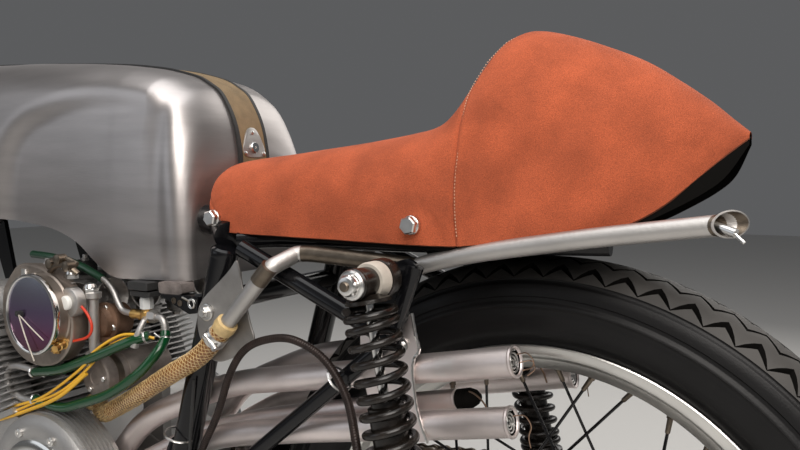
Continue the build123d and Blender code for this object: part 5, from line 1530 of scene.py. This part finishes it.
def build_handlebars():
    clamps, bars, grips, brights, levers = [], [], [], [], []
    for side in (1, -1):
        y = side * LEG_Y
        centre = at(*leg_at(866, y))
        low, high = at(*leg_at(853, y)), at(*leg_at(879, y))
        clamps.append(lathe(low, high - low, [(0, 17.6), (0, 25.4), (1.4, 26.8), (27.6, 26.8), (29, 25.4),
            (29, 17.6)], 40))
        tip = centre + Vector((-0.062, side * 0.250, -0.030))
        run = (tip - centre).normalized()
        length = (tip - centre).length * 1000
        bars.append(lathe(centre, run, [(17, 10.8), (length, 10.8), (length + 1, 10)], 32))
        inner = length * 0.48
        ribs = [(inner, 11.2), (inner + 1, 17.4), (inner + 4, 18), (inner + 7, 16.6)]
        ribs += ribbed(inner + 9, length - 6, 4.6, 1.6, 1.0, 15.9, 14.8)
        ribs += [(length + 2, 15.6), (length + 4, 14), (length + 4, 0)]
        grips.append(lathe(centre, run, ribs, 32))
        perch = centre + run * (length * 0.40 / 1000)
        root = perch + Vector((0.034, side * 0.004, 0))
        clamps.append(lathe(perch, run, [(-9, 11), (-9, 14.6), (-8, 15.4), (8, 15.4), (9, 14.6), (9, 11)],
            32))
        clamps.append(swept([perch + Vector((0.008, 0, 0)), root], [8, 7.6], 20))
        knots = [tuple(root + Vector((x, side * y, z)))
            for x, y, z in ((0, -0.008, 0), (-0.002, 0.030, -0.004), (-0.010, 0.068, -0.009),
            (-0.026, 0.124, -0.016))]
        blade = [Vector(q) for q in smooth_curve(knots, 30)]
        levers.append(swept(blade, list(np.linspace(5.4, 3.4, 29)) + [4.6], 16))
        levers.append(lathe(blade[-1], UP, [(-5, 3), (-3, 5), (3, 5), (5, 3)], 20))
        brights.append(hexagon(root + Vector((0, 0, 0.0074)), UP, 9, 4))
        brights.append(hexagon(centre + Vector((-0.025, side * -0.004, 0.0)), (-1, 0, 0), 8, 4))
    piece("clip_on_bars", [(clamps, dull), (bars, black), (grips, soft_black), (levers, polished),
        (brights, zinc)], "steering", ["handlebars"], crease=28)


def build_tachometer():
    foot = at(*head_point(896)) + STEER_DIR * 0.0143
    face_dir = Vector((-0.72, 0, 0.69)).normalized()
    centre = foot + STEER_DIR * 0.034
    case = lathe(centre, face_dir, [(-18, 0), (-18, 22), (-16, 29), (-8, 35), (0, 37), (14, 37.6),
        (14, 30)], 56)
    bezel = lathe(centre, face_dir, [(13, 37), (13, 38.2), (19, 38.2), (20.4, 37), (20.4, 34.4), (18, 34)],
        56)
    dial = lathe(centre, face_dir, [(17, 34.4), (17, 0)], 56)
    u = Vector(LEFT)
    v = face_dir.cross(u)
    marks = []
    for k in range(29):
        a = radians(-225 + 270 * k / 28)
        long = k % 4 == 0
        out_dir = u * cos(a) + v * sin(a)
        marks.append(swept([centre + face_dir * 0.0176 + out_dir * (0.0265 if long else 0.029),
            centre + face_dir * 0.0176 + out_dir * 0.0325], 0.55 if long else 0.3, 6))
    a = radians(-225)
    out_dir = u * cos(a) + v * sin(a)
    needle = swept([centre + face_dir * 0.0184 - out_dir * 0.007, centre + face_dir * 0.0184
        + out_dir * 0.026], [1.0, 0.35], 8)
    knob = lathe(centre, face_dir, [(17, 4), (19.4, 4), (20, 3), (20, 0)], 24)
    post = swept([foot, centre], 7.6, 20)
    piece("tachometer_parts", [([case, post], soft_black), (bezel, chrome), (dial, black_and_painted_shade),
        (marks, white), (needle, red), (knob, soft_black)], "steering", ["tachometer"], crease=28)


def build_foot_controls():
    pegs, knurls, levers, brights = [], [], [], []
    for side in (1, -1):
        pegs.append(lathe(at(400, 0, -20), (0, side, 0), [(112.5, 9), (114, 12), (119, 12), (121, 9.4),
            (124, 8.6)], 32))
        ribs = [(124, 8.6)] + ribbed(126, 202, 5.2, 2.6, 0.8, 10, 8.9)
        knurls.append(lathe(at(400, 0, -20), (0, side, 0), ribs + [(203, 10), (204.4, 8.6), (204.4, 0)],
            32))
        levers.append(tube([(400, side * 126.5, -54), (440, side * 150.5, -56), (470, side * 182, -52),
            (540, side * 184, -42)], 4.8, 18))
        levers.append(lathe(at(406, 0, -54), (0, side, 0), [(112.5, 8.6), (114, 9), (133, 9), (134.5, 7.8)],
            28))
        ribs = [(174, 6.4), (175, 7.6)] + ribbed(177, 202, 4.6, 2, 0.8, 8, 7)
        knurls.append(lathe(at(536, 0, -42), (0, side, 0), ribs + [(205, 7.6), (206, 6.4), (206, 0)], 28))
        brights.append(hexagon(at(406, side * 134, -54), (0, side, 0), 10, 4.5))
    piece("foot_pegs", [(pegs, dull), (knurls[0::2], soft_black)], replaces=["footrests"], crease=28)
    piece("pedals", [(levers, dull), (knurls[1::2], soft_black), (brights, zinc)], replaces=["foot_levers"],
        crease=28)


build_fork()
build_handlebars()
build_tachometer()
build_foot_controls()


# Camera, light and floor
CAMERA = Vector((-0.9154, 0.6891, 0.7392))
TURN, TILT, ROLL = radians(30.44), radians(-3.95), radians(-0.25)
LENS = 33.8


def look(obj, direction, roll=0.0):
    """Turns a camera or lamp to face this way."""
    right = direction.cross(Vector(UP)).normalized()
    up = right.cross(direction)
    right, up = right * cos(roll) + up * sin(roll), up * cos(roll) - right * sin(roll)
    obj.matrix_world = Matrix((
        (right.x, up.x, -direction.x, obj.location.x), (right.y, up.y, -direction.y, obj.location.y),
        (right.z, up.z, -direction.z, obj.location.z), (0, 0, 0, 1)))


def build_stage():
    scene = bpy.context.scene
    camera = bpy.data.objects.new("camera", bpy.data.cameras.new("camera"))
    scene.collection.objects.link(camera)
    camera.location = CAMERA
    camera.data.lens = LENS
    camera.data.sensor_width = 36
    camera.data.clip_start = 0.05
    look(camera, Vector((sin(TURN) * cos(TILT), -cos(TURN) * cos(TILT), sin(TILT))), ROLL)
    scene.camera = camera
    floor_data = bpy.data.meshes.new("floor")
    w = 9.0
    floor_data.from_pydata([(-w, -w, 0), (w, -w, 0), (w, w, 0), (-w, w, 0)], [], [(0, 1, 2, 3)])
    floor_data.materials.append(material("pale floor", (0.62, 0.61, 0.59), 0, 0.6))
    floor = bpy.data.objects.new("floor", floor_data)
    scene.collection.objects.link(floor)
    for name, place_at, aim, size, power, color in (
            ("key", (-1.9, 1.9, 2.6), (-0.4, 0, 0.7), 2.2, 92, (1.0, 0.95, 0.90)),
            ("left", (1.5, 2.1, 1.6), (0.1, 0, 0.6), 1.9, 9, (0.88, 0.93, 1.0)),
            ("back", (-0.6, -2.2, 2.0), (-0.3, 0, 0.7), 2.0, 26, (1, 0.97, 0.93)),
            ("top", (-0.3, 0.3, 3.0), (-0.3, 0, 0.6), 2.2, 34, (1, 1, 1))):
        data = bpy.data.lights.new(name, "AREA")
        data.size = size
        data.energy = power
        data.color = color
        light = bpy.data.objects.new(name, data)
        scene.collection.objects.link(light)
        light.location = place_at
        look(light, (Vector(aim) - Vector(place_at)).normalized())
    world = bpy.data.worlds.new("studio")
    world.use_nodes = True
    world.node_tree.nodes["Background"].inputs["Color"].default_value = (0.62, 0.63, 0.65, 1)
    world.node_tree.nodes["Background"].inputs["Strength"].default_value = 0.17
    scene.world = world
    scene.view_settings.view_transform = "Standard"


build_stage()
